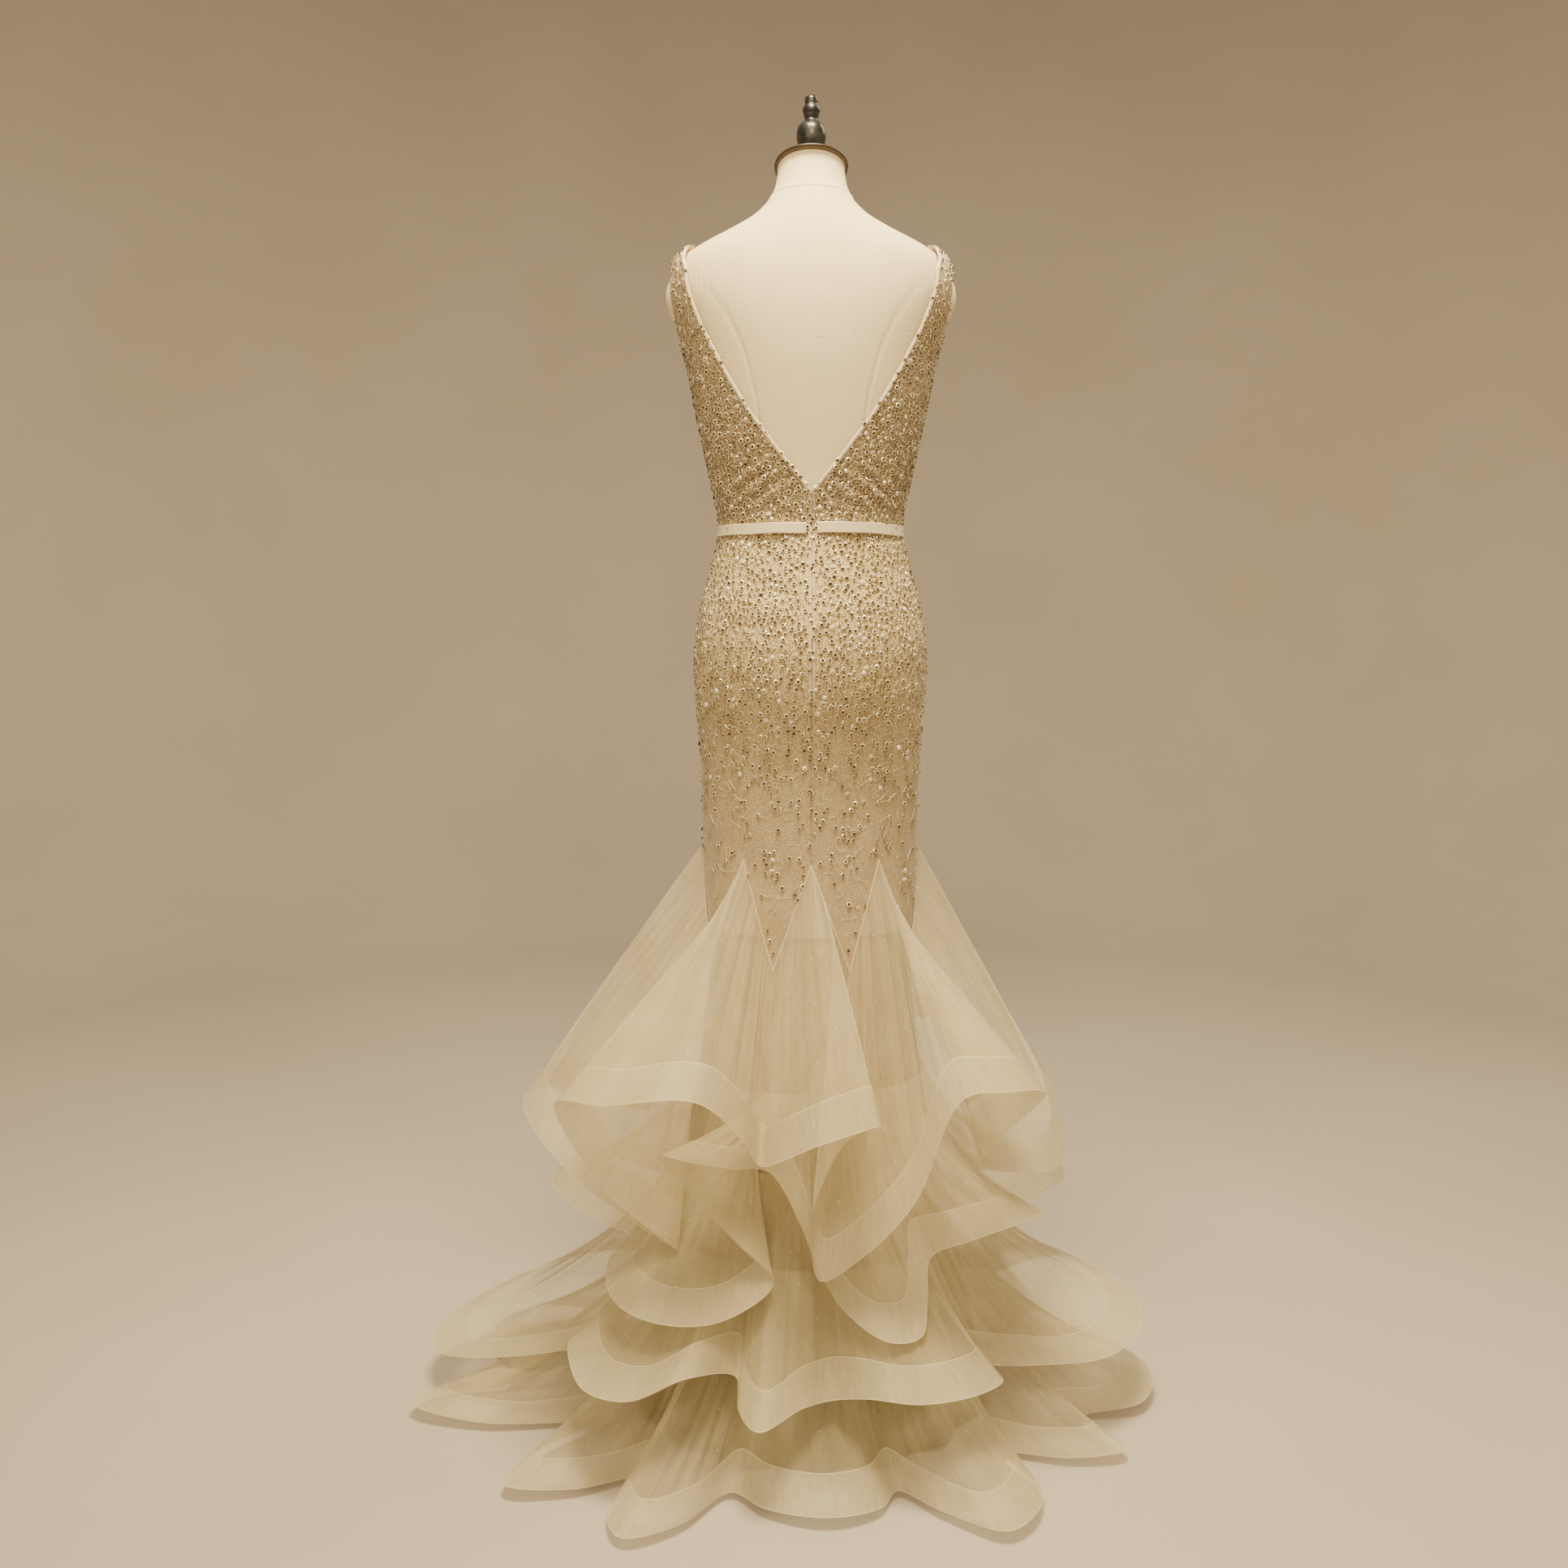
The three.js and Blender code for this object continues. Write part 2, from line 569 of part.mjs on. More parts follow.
const SECOND_HEM = [
  // seam, azimuth, reach, z
  [-160, -160, 228, 258], [-150, -150, 300, 300], [-138, -138, 318, 306], [-126, -127, 290, 290],
  [-118, -119, 234, 262], [-108, -110, 300, 285], [-97, -98, 345, 300], [-86, -86, 352, 296],
  [-77, -76, 300, 270], [-70, -68, 242, 248], [-62, -62, 290, 250], [-55, -53, 322, 232],
  [-47, -43, 332, 222], [-41, -33, 312, 214], [-36, -23, 272, 216], [-31, -12, 228, 250],
  [-27, -22, 246, 305], [-23, -33, 282, 375], [-20, -37, 308, 420], [-16, -30, 300, 418],
  [-12, -23, 258, 402], [-8, -15, 202, 380], [-3, -5, 208, 325], [2, 2, 216, 264], [8, 9, 236, 222],
  [14, 19, 282, 196], [20, 28, 284, 196], [25, 33, 262, 230], [30, 38, 242, 268],
  [38, 43, 290, 300], [46, 52, 330, 318], [54, 63, 335, 310], [61, 70, 275, 280],
  [67, 74, 264, 272], [76, 80, 300, 285], [86, 90, 355, 300], [97, 101, 350, 296],
  [106, 110, 285, 270], [113, 116, 258, 266], [122, 125, 300, 285], [134, 137, 322, 300],
  [146, 149, 300, 290], [155, 158, 228, 255], [166, 168, 290, 290], [180, 180, 312, 302],
  [192, 192, 290, 290],
];
const THIRD_HEM = [
  // seam, azimuth, reach, z
  [-165, -166, 262, 130], [-156, -157, 330, 165], [-146, -146, 352, 172], [-136, -135, 320, 150],
  [-127, -126, 262, 120], [-118, -118, 340, 120], [-108, -107, 450, 95], [-97, -96, 530, 62],
  [-87, -87, 515, 58], [-79, -77, 400, 85], [-72, -68, 290, 118], [-65, -63, 330, 150],
  [-57, -56, 368, 158], [-48, -46, 388, 138], [-40, -36, 372, 140], [-33, -27, 330, 165],
  [-27, -21, 262, 140], [-20, -17, 300, 120], [-12, -11, 336, 118], [-3, -3, 290, 124],
  [5, 5, 264, 120], [12, 13, 296, 136], [20, 22, 336, 142], [28, 33, 350, 142], [36, 42, 345, 140],
  [43, 48, 300, 130], [50, 54, 286, 114], [58, 61, 330, 110], [68, 70, 410, 110],
  [79, 81, 452, 118], [89, 92, 450, 128], [98, 102, 380, 150], [105, 108, 275, 120],
  [115, 117, 360, 140], [126, 128, 400, 150], [137, 139, 350, 140], [145, 148, 262, 122],
  [156, 158, 330, 160], [168, 170, 345, 170], [182, 183, 315, 155],
];
const FLOOR_HEM = [
  // seam, azimuth, reach, z
  [-166, -166, 290, 9], [-157, -157, 345, 22], [-146, -146, 365, 34], [-136, -136, 350, 20],
  [-126, -127, 296, 9], [-118, -119, 380, 16], [-110, -110, 440, 36], [-101, -101, 470, 30],
  [-94, -92, 420, 12], [-89, -86, 425, 9], [-84, -85, 515, 14], [-79, -80, 542, 20],
  [-74, -74, 455, 12], [-68, -67, 318, 9], [-61, -61, 400, 14], [-53, -54, 465, 18],
  [-47, -47, 400, 12], [-42, -42, 330, 9], [-37, -37, 405, 14], [-30, -31, 432, 14],
  [-24, -25, 380, 12], [-19, -20, 292, 9], [-11, -10, 318, 12], [-1, 3, 336, 16], [9, 14, 322, 12],
  [17, 21, 290, 9], [24, 26, 352, 12], [31, 32, 425, 16], [38, 39, 420, 18], [45, 46, 385, 14],
  [51, 52, 312, 9], [59, 58, 390, 12], [66, 64, 445, 16], [72, 70, 400, 10], [77, 74, 380, 9],
  [82, 79, 455, 18], [90, 88, 476, 24], [98, 97, 440, 30], [105, 106, 360, 14], [112, 111, 300, 9],
  [122, 121, 400, 24], [133, 133, 425, 38], [143, 144, 360, 20], [150, 150, 288, 9],
  [160, 159, 340, 20], [172, 172, 352, 30], [184, 184, 335, 20],
];

// A flounce's upper edge and profile. midOut and midDown place the profile's middle between the seam and
// the hem, outwards and downwards: a bell has the larger midOut, a trumpet the larger midDown.
// cuts are the rows of the hem, all of them valleys, at which one cut piece ends and the next starts.
const FLOUNCES = [
  {
    name: "godet",
    hem: GODET_HEM,
    seamZ: null,
    midOut: 0.5,
    midDown: 0.46,
    cuts: [45, 4, 10, 16, 22, 29, 35, 40],
    braidCuts: [45, 10, 22, 35],
  },
  {
    name: "flounce_2",
    hem: SECOND_HEM,
    seamZ: 460,
    midOut: 0.2,
    midDown: 0.62,
    cuts: [0, 9, 28, 38],
    braidCuts: [0, 9, 28, 38],
  },
  {
    name: "flounce_3",
    hem: THIRD_HEM,
    seamZ: 360,
    midOut: 0.2,
    midDown: 0.6,
    cuts: [0, 10, 26],
    braidCuts: [0, 10, 26],
  },
  {
    name: "flounce_4",
    hem: FLOOR_HEM,
    seamZ: 245,
    midOut: 0.2,
    midDown: 0.6,
    cuts: [0, 13, 30],
    braidCuts: [0, 13, 30],
  },
];

const BRAID_WIDTH = 50;
const PER_SPAN = 1; // columns of facets from one row of a hem to the next

// A point at an azimuth, a radius and a height.
const polar = (azimuth, radius, z) =>
  new THREE.Vector3(radius * Math.sin(radians(azimuth)), -radius * Math.cos(radians(azimuth)), z);

// The hem as a closed smooth curve through its rows.
const hemCurve = (hem) =>
  new THREE.CatmullRomCurve3(hem.map(([, azimuth, reach, z]) => polar(azimuth, reach, z)), true, "centripetal");

// The spot where a column of a flounce leaves its seam.
function seamPoint(flounce, azimuth) {
  const z = flounce.seamZ ?? edgeZ(azimuth) + 3;
  const out = flounce.seamZ ? 2 * LIFT : OUTSIDE + 2 * LIFT;
  return onBody(azimuth, z, out + SHEER / 2);
}

// The azimuth at the seam of a column, evenly spaced between two rows of the hem.
function seamAzimuth(hem, column) {
  const at = (column / PER_SPAN + hem.length) % hem.length;
  const i = Math.floor(at);
  const end = i + 1 < hem.length ? hem[i + 1][0] : hem[0][0] + 360;
  return THREE.MathUtils.lerp(hem[i][0], end, at - i);
}

// One column of a flounce: points at shares of the way from the seam to the hem.
function flounceColumn(flounce, curve, column, shares) {
  const spans = flounce.hem.length;
  const low = curve.getPoint((column / PER_SPAN / spans + 1) % 1);
  const top = seamPoint(flounce, seamAzimuth(flounce.hem, column));
  const mid = new THREE.Vector3(
    THREE.MathUtils.lerp(top.x, low.x, flounce.midOut),
    THREE.MathUtils.lerp(top.y, low.y, flounce.midOut),
    THREE.MathUtils.lerp(top.z, low.z, flounce.midDown),
  );
  return shares.map((v) =>
    top
      .clone()
      .multiplyScalar((1 - v) * (1 - v))
      .addScaledVector(mid, 2 * v * (1 - v))
      .addScaledVector(low, v * v),
  );
}

// The share of the way down at which the braid's upper edge lies, for a column's own length.
function braidShare(flounce, curve, column) {
  const [a, b] = flounceColumn(flounce, curve, column, [0.85, 1]);
  return 1 - (0.15 * BRAID_WIDTH) / a.distanceTo(b);
}

// Outward directions at each point of a grid of columns, from the cloth round it.
function gridNormals(columns) {
  return columns.map((column, i) =>
    column.map((point, j) => {
      const left = columns[Math.max(i - 1, 0)][j];
      const right = columns[Math.min(i + 1, columns.length - 1)][j];
      const up = column[Math.max(j - 1, 0)];
      const down = column[Math.min(j + 1, column.length - 1)];
      return right.clone().sub(left).cross(up.clone().sub(down)).normalize();
    }),
  );
}

// Moves the end columns of a piece in from its seams.
function insetEnds(columns) {
  const shift = (column, beside) =>
    column.map((p, j) => {
      const towards = beside[j].clone().sub(p);
      return p.clone().addScaledVector(towards, Math.min(GAP * 1.2, towards.length() / 3) / towards.length());
    });
  const last = columns.length - 1;
  return columns.map((column, i) => {
    if (i === 0) return shift(column, columns[1]);
    return i === last ? shift(column, columns[last - 1]) : column;
  });
}

// A wall from columns of points, between two distances along their normals.
function columnsWall(columns, normals, from, to) {
  const depth = columns[0].length;
  const sheet = (out) =>
    columns.flatMap((column, i) => column.map((p, j) => p.clone().addScaledVector(normals[i][j], out)));
  const rows = columns.map((column, i) => column.map((_, j) => i * depth + j));
  return wall(sheet(to), sheet(from), gridFaces(rows));
}

const SHARES = [0, 0.46];

// A flounce is cut from valley to valley, and its braid is put on in lengths of its own.
function makeFlounce(flounce) {
  const curve = hemCurve(flounce.hem);
  const spans = flounce.hem.length;
  const columnAt = (c) => flounceColumn(flounce, curve, c, [...SHARES, braidShare(flounce, curve, c), 1]);
  const lengths = (cuts, make) => {
    cuts.forEach((cut, i) => {
      const next = cuts[(i + 1) % cuts.length];
      const first = cut * PER_SPAN;
      const last = (next > cut ? next : next + spans) * PER_SPAN;
      const numbers = steps(first, last, last - first);
      const wide = [numbers[0] - 1, ...numbers, numbers.at(-1) + 1].map(columnAt);
      make("abcdefgh"[i], insetEnds(numbers.map(columnAt)), gridNormals(wide).slice(1, -1));
    });
  };
  lengths(flounce.cuts, (letter, columns, normals) => {
    const panel = columnsWall(columns, normals, -SHEER / 2, SHEER / 2);
    add(flounce.name + "_" + letter, panel, "tulle");
  });
  lengths(flounce.braidCuts, (letter, columns, normals) => {
    const hemwards = (grid) => grid.map((column) => column.slice(-2));
    const from = SHEER / 2 + 2 * LIFT;
    const band = columnsWall(hemwards(columns), hemwards(normals), from, from + BRAID);
    add(flounce.name + "_braid_" + letter, band, "braid");
  });
}
FLOUNCES.forEach(makeFlounce);

// ---------------------------------------------------------------- dress form

// A closed solid of rings on the section surface, with flat ends.
function ringSolid(heights, columns, tilt = 0) {
  const rings = heights.map((z, i) =>
    steps(0, 360, columns)
      .slice(0, -1)
      .map((azimuth) => {
        const p = onBody(azimuth > 180 ? azimuth - 360 : azimuth, z, -FORM_SHY);
        if (i === 0) p.setZ(z - p.y * Math.tan(radians(tilt)));
        return i === heights.length - 1 ? p.setZ(z) : p;
      }),
  );
  const points = rings.flat();
  const rows = heights.map((_, i) => [...Array(columns + 1)].map((__, j) => i * columns + (j % columns)));
  const triangles = gridFaces(rows, true).flatMap(([a, b, c, d]) => [
    [a, b, c],
    [a, c, d],
  ]);
  const top = points.push(new THREE.Vector3(0, 0, heights[0])) - 1;
  const bottom = points.push(new THREE.Vector3(0, 0, heights.at(-1))) - 1;
  const lastRow = (heights.length - 1) * columns;
  for (let j = 0; j < columns; j += 1) {
    const next = (j + 1) % columns;
    triangles.push([top, j, next], [bottom, lastRow + next, lastRow + j]);
  }
  return geometryOf(points, triangles);
}

const FORM_COLUMNS = 32;
const TORSO_HEIGHTS = [
  NECK_SEAM_Z - GAP, 1592, 1580, 1568, 1554, 1542, 1530, 1515, 1495, 1465, 1430, 1395, 1360, 1325, 1292, 1255,
  1220, 1186, 1150, 1110, 1065, 1020, 975, 930, 880, FORM_BOTTOM_Z,
];
add("form_torso", ringSolid(TORSO_HEIGHTS, FORM_COLUMNS), "linen");

const NECK_TOP_Z = 1642; // on the centre line: the cut slopes down to the front
const NECK_TILT = 17;
add("form_neck", ringSolid([NECK_TOP_Z, 1626, 1615, NECK_SEAM_Z], FORM_COLUMNS, NECK_TILT), "linen");

// An arm plate closes each armhole of the form with a low dome.
const ARM_PLATE = { azimuth: 90, z: 1474, wide: 9.5, high: 35, dome: 8 };

function armPlate(side) {
  const rings = [0.45, 0.8, 1];
  const around = 14;
  const spots = [{ azimuth: ARM_PLATE.azimuth, z: ARM_PLATE.z, out: ARM_PLATE.dome }];
  for (const share of rings) {
    for (let k = 0; k < around; k += 1) {
      const turn = (2 * Math.PI * k) / around;
      spots.push({
        azimuth: ARM_PLATE.azimuth + ARM_PLATE.wide * share * Math.cos(turn),
        z: ARM_PLATE.z + ARM_PLATE.high * share * Math.sin(turn),
        out: 0.8 + ARM_PLATE.dome * (1 - share * share),
      });
    }
  }
  const faces = [];
  for (let k = 0; k < around; k += 1) {
    const next = (k + 1) % around;
    faces.push([0, 1 + k, 1 + next]);
    for (let r = 0; r < rings.length - 1; r += 1) {
      const [a, b] = [1 + r * around, 1 + (r + 1) * around];
      faces.push([a + k, b + k, b + next, a + next]);
    }
  }
  const sheet = (outOf) => spots.map((s) => onBody(side * s.azimuth, s.z, outOf(s)));
  const turned = side > 0 ? faces : faces.map((f) => [...f].reverse());
  return wall(
    sheet((s) => GAP + s.out - FORM_SHY),
    sheet(() => GAP - FORM_SHY),
    turned,
  );
}
add("form_arm_plate_right", armPlate(1), "linen");
add("form_arm_plate_left", armPlate(-1), "linen");

// The neck cap is a thin wooden plate on the sloping cut, a little wider than the neck.
const CAP_THICK = 5;
const CAP_OVERHANG = 1.5;

function neckCap() {
  const plane = (x, y, up) => new THREE.Vector3(x, y, NECK_TOP_Z - y * Math.tan(radians(NECK_TILT)) + up);
  const columns = FORM_COLUMNS;
  const ring = (grow, up) =>
    steps(0, 360, columns)
      .slice(0, -1)
      .map((azimuth) => {
        const p = sectionPoint(azimuth > 180 ? azimuth - 360 : azimuth, NECK_TOP_Z);
        const share = 1 + grow / Math.hypot(p.x, p.y);
        return plane(p.x * share, p.y * share, up);
      });
  const rings = [ring(-8, CAP_THICK + GAP + 1.5), ring(CAP_OVERHANG, CAP_THICK + GAP - 1.5), ring(CAP_OVERHANG, GAP)];
  const points = rings.flat();
  const rows = rings.map((_, i) => [...Array(columns + 1)].map((__, j) => i * columns + (j % columns)));
  const triangles = gridFaces(rows, true).flatMap(([a, b, c, d]) => [
    [a, b, c],
    [a, c, d],
  ]);
  const top = points.push(plane(0, 0, CAP_THICK + GAP + 2)) - 1;
  const bottom = points.push(plane(0, 0, GAP)) - 1;
  for (let j = 0; j < columns; j += 1) {
    const next = (j + 1) % columns;
    triangles.push([top, j, next], [bottom, 2 * columns + next, 2 * columns + j]);
  }
  return geometryOf(points, triangles);
}
add("form_neck_cap", neckCap(), "wood");

// The turned finial stands on the cap. Its foot is cut to the cap's slope by starting clear above it.
const FINIAL = [
  { r: 16.5, z: 1654.4 },
  { r: 16.8, z: 1670 },
  { r: 18.8, z: 1684 },
  { r: 17.4, z: 1690 },
  { r: 13, z: 1696.5 },
  { r: 8.4, z: 1700.5 },
  { r: 9.4, z: 1705 },
  { r: 11.3, z: 1712 },
  { r: 10.6, z: 1716 },
  { r: 8.2, z: 1720 },
  { r: 7.9, z: 1726 },
  { r: 5.8, z: 1730.5 },
];
const FINIAL_TOP_Z = 1732;

function turned(profile, segments) {
  const geometry = new THREE.LatheGeometry(
    profile.map((p) => new THREE.Vector2(p.r, p.z)),
    segments,
  );
  return geometry.rotateX(Math.PI / 2);
}
add(
  "form_finial",
  turned([{ r: 0, z: FINIAL[0].z }, ...FINIAL, { r: 0, z: FINIAL_TOP_Z }], 18),
  "lacquer",
);

// A steel pole carries the form on a round base.
const POLE_RADIUS = 16;
const BASE = { radius: 140, thick: 10 };
add(
  "stand_pole",
  turned(
    [
      { r: 0, z: BASE.thick + GAP },
      { r: POLE_RADIUS, z: BASE.thick + GAP },
      { r: POLE_RADIUS, z: FORM_BOTTOM_Z - GAP },
      { r: 0, z: FORM_BOTTOM_Z - GAP },
    ],
    20,
  ),
  "steel",
);
add(
  "stand_base",
  turned(
    [
      { r: 0, z: 0 },
      { r: BASE.radius, z: 0 },
      { r: BASE.radius, z: BASE.thick - 3 },
      { r: BASE.radius - 4, z: BASE.thick },
      { r: 0, z: BASE.thick },
    ],
    32,
  ),
  "steel",
);

export default gown;
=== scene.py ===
import math
import random

import bmesh
import bpy
import numpy as np
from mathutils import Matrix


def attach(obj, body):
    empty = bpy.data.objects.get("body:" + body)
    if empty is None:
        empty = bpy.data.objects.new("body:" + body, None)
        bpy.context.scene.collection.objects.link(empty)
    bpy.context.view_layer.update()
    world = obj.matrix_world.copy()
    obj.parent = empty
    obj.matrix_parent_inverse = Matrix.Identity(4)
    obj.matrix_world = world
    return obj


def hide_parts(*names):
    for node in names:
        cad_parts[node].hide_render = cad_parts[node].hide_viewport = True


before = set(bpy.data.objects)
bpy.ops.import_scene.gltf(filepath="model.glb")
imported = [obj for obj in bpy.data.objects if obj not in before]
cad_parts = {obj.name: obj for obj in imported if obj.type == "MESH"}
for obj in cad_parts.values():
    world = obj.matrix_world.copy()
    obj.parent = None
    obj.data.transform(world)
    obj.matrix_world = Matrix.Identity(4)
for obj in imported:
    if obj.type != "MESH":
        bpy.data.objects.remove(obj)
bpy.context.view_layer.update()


# ------------------------------------------------------------------ camera, floor and lights
# A camera behind the gown at chest height, tipped down a little, on a pale floor that turns up into a
# wall. Two large soft boxes and an even pale sky light it.
def straight_camera(at, lens, tip_down):
    data = bpy.data.cameras.new("camera")
    data.lens = lens
    data.sensor_width = 36
    camera = bpy.data.objects.new("camera", data)
    camera.location = at
    camera.rotation_euler = (math.radians(90 - tip_down), 0, 0)
    bpy.context.collection.objects.link(camera)
    bpy.context.scene.camera = camera


straight_camera((-0.035, -1.905, 1.05), 32.7, 6.1)


def adder(tree, family=""):
    """A short way to add a node to a tree with its settings, its inputs' values and its links."""

    def add(kind, inputs=None, **settings):
        node = tree.nodes.new(family + kind)
        for key, value in settings.items():
            setattr(node, key, value)
        for key, value in (inputs or {}).items():
            if isinstance(value, bpy.types.NodeSocket):
                tree.links.new(value, node.inputs[key])
            else:
                node.inputs[key].default_value = value
        return node

    return add


def nodes_of(name, fixed):
    """A new material with its shader's fixed values, and short ways to add and join its nodes."""
    material = bpy.data.materials.new(name)
    material.use_nodes = True
    tree = material.node_tree
    shader = tree.nodes["Principled BSDF"]
    for key, value in fixed.items():
        shader.inputs[key].default_value = value
    return material, shader, adder(tree, "ShaderNode"), tree.links.new


def ramp(add, factor, stops):
    """A colour ramp from a list of (position, colour)."""
    node = add("ValToRGB", {"Fac": factor})
    while len(node.color_ramp.elements) < len(stops):
        node.color_ramp.elements.new(0.5)
    for element, (place, colour) in zip(node.color_ramp.elements, stops):
        element.position = place
        element.color = (*colour, 1)
    return node.outputs["Color"]


def noise(add, place, stretch=None, scale=5.0, detail=2.0):
    """Soft noise for grain, wear and tint, closer along an axis where its stretch is larger."""
    if stretch:
        place = add("Mapping", {"Vector": place, "Scale": stretch}).outputs[0]
    return add("TexNoise", {"Vector": place, "Scale": scale, "Detail": detail}).outputs["Fac"]


def studio_floor():
    """A pale floor that curves up into a wall all round, far enough out to walk round the gown."""
    wall_at, bend, height, turns = 3.9, 1.1, 3.6, 96
    corner = [math.radians(90 * k / 14) for k in range(15)]
    curve = [(wall_at - bend + bend * math.sin(a), bend - bend * math.cos(a)) for a in corner]
    profile = [(0.8, 0.0), (1.8, 0.0), *curve, (wall_at, height)]
    around = [2 * math.pi * k / turns for k in range(turns)]
    points = [(0.0, 0.0, 0.0), *[(r * math.cos(a), r * math.sin(a), z) for r, z in profile for a in around]]
    faces = [(0, 1 + k, 1 + (k + 1) % turns) for k in range(turns)]
    for ring in range(len(profile) - 1):
        low, high = 1 + ring * turns, 1 + (ring + 1) * turns
        faces += [(low + k, high + k, high + (k + 1) % turns, low + (k + 1) % turns) for k in range(turns)]
    mesh = bpy.data.meshes.new("studio_floor")
    mesh.from_pydata(points, [], faces)
    for polygon in mesh.polygons:
        polygon.use_smooth = True
    floor = bpy.data.objects.new("studio_floor", mesh)
    bpy.context.collection.objects.link(floor)
    material, shader, add, join = nodes_of("studio_paint", {"Roughness": 0.7})
    place = add("TexCoord").outputs["Object"]
    cloud = noise(add, place, scale=1.3, detail=4)
    tone = ramp(add, cloud, [(0.3, (0.62, 0.56, 0.50)), (0.7, (0.68, 0.62, 0.56))])
    join(tone, shader.inputs["Base Color"])
    mesh.materials.append(material)


studio_floor()


def soft_box(name, at, towards, size, power, colour):
    data = bpy.data.lights.new(name, "AREA")
    data.shape = "RECTANGLE"
    data.size, data.size_y = size
    data.energy = power
    data.color = colour
    lamp = bpy.data.objects.new(name, data)
    lamp.location = at
    direction = np.array(towards, float) - np.array(at, float)
    yaw = math.atan2(direction[0], direction[1])
    tilt = math.atan2(direction[2], math.hypot(direction[0], direction[1]))
    lamp.rotation_euler = (math.radians(90) + tilt, 0, -yaw)
    bpy.context.collection.objects.link(lamp)


WARM = (1.0, 0.81, 0.49)
soft_box("top_soft_box", (0.0, -0.62, 2.9), (0.0, -0.08, 0.9), (0.8, 0.6), 120, WARM)
soft_box("back_soft_box", (-1.3, -2.6, 2.3), (0.0, 0.0, 0.9), (1.6, 1.6), 20, WARM)
soft_box("front_soft_box", (1.6, 0.9, 2.9), (0.0, 0.0, 0.9), (1.2, 1.2), 20, WARM)
soft_box("hip_soft_box", (0.06, -0.85, 2.0), (0.0, -0.1, 1.10), (0.3, 0.3), 4.8, WARM)
world = bpy.data.worlds.new("studio_sky")
world.use_nodes = True
world.node_tree.nodes["Background"].inputs["Color"].default_value = (1.0, 0.87, 0.66, 1)
world.node_tree.nodes["Background"].inputs["Strength"].default_value = 0.22
bpy.context.scene.world = world


# ------------------------------------------------------------------ dress form
# A limbless papier-mache form covered in cream linen, sewn from shaped panels with seams down the back
# and over the shoulder blades. Its surface also carries the gown, so its sections are set out here.
GOWN = "gown_on_form"
# One row a section: height, half width, depth behind and in front of the centre line, in millimetres.
SECTIONS = np.array(
    [
        (1668, 45, 40, 52), (1640, 46, 43, 54), (1616, 50, 52, 56), (1600, 59, 64, 60),
        (1580, 80, 78, 67), (1564, 108, 87, 75), (1544, 148, 96, 85), (1528, 171, 102, 92),
        (1508, 181, 107, 98), (1478, 182, 111, 104), (1445, 173, 112, 110), (1395, 158, 108, 113),
        (1344, 148, 100, 108), (1292, 137, 91, 98), (1240, 126, 83, 90), (1186, 117, 80, 86),
        (1134, 127, 92, 90), (1081, 141, 110, 94), (1027, 149, 121, 96), (973, 149, 120, 96),
        (919, 145, 109, 94), (864, 142, 101, 93), (809, 140, 98, 92), (750, 140, 100, 94),
        (680, 140, 104, 98), (611, 142, 109, 104), (520, 147, 121, 116), (400, 163, 145, 137),
        (280, 187, 171, 161), (140, 222, 203, 191), (0, 250, 232, 218),
    ],
    float,
) / 1000
BUST = {"z": 1.378, "reach": 0.018, "azimuth": 27, "spread": 25, "height": 0.060}


def smoothly(z, column):
    """One column of the sections as a smooth curve of height."""
    heights, values = SECTIONS[:, 0], SECTIONS[:, column]
    last = len(heights) - 1
    i = np.clip(np.searchsorted(-heights[1:], -z, "left"), 0, last - 1)
    after, before = np.minimum(np.arange(last + 1) + 1, last), np.maximum(np.arange(last + 1) - 1, 0)
    slope = (values[after] - values[before]) / (heights[after] - heights[before])
    span = heights[i + 1] - heights[i]
    t = np.clip((z - heights[i]) / span, 0, 1)
    t2, t3 = t * t, t * t * t
    return (
        values[i] * (2 * t3 - 3 * t2 + 1)
        + slope[i] * span * (t3 - 2 * t2 + t)
        + values[i + 1] * (3 * t2 - 2 * t3)
        + slope[i + 1] * span * (t3 - t2)
    )


def section_point(azimuth, z):
    """Points on the bare section surface, for arrays of azimuth in degrees and height."""
    azimuth, z = np.broadcast_arrays(np.asarray(azimuth, float), np.asarray(z, float))
    a = np.radians(azimuth)
    depth = np.where(np.cos(a) > 0, smoothly(z, 2), smoothly(z, 3))
    wrapped = (azimuth + 180) % 360 - 180
    across = (np.abs(180 - np.abs(wrapped)) - BUST["azimuth"]) / BUST["spread"]
    up = (z - BUST["z"]) / BUST["height"]
    bust = np.where(np.abs(wrapped) > 90, BUST["reach"] * np.exp(-across**2 - up**2), 0)
    x = (smoothly(z, 1) + bust) * np.sin(a)
    y = -(depth + bust) * np.cos(a)
    return np.stack([x, y, z], -1)


def on_body(azimuth, z, out):
    """Points that stand out of the section surface by a distance."""
    azimuth, z, out = np.broadcast_arrays(*[np.asarray(v, float) for v in (azimuth, z, out)])
    around = section_point(azimuth + 0.5, z) - section_point(azimuth - 0.5, z)
    upward = section_point(azimuth, z + 0.0005) - section_point(azimuth, z - 0.0005)
    normal = np.cross(around, upward)
    normal /= np.linalg.norm(normal, axis=-1, keepdims=True)
    return section_point(azimuth, z) + normal * out[..., None]


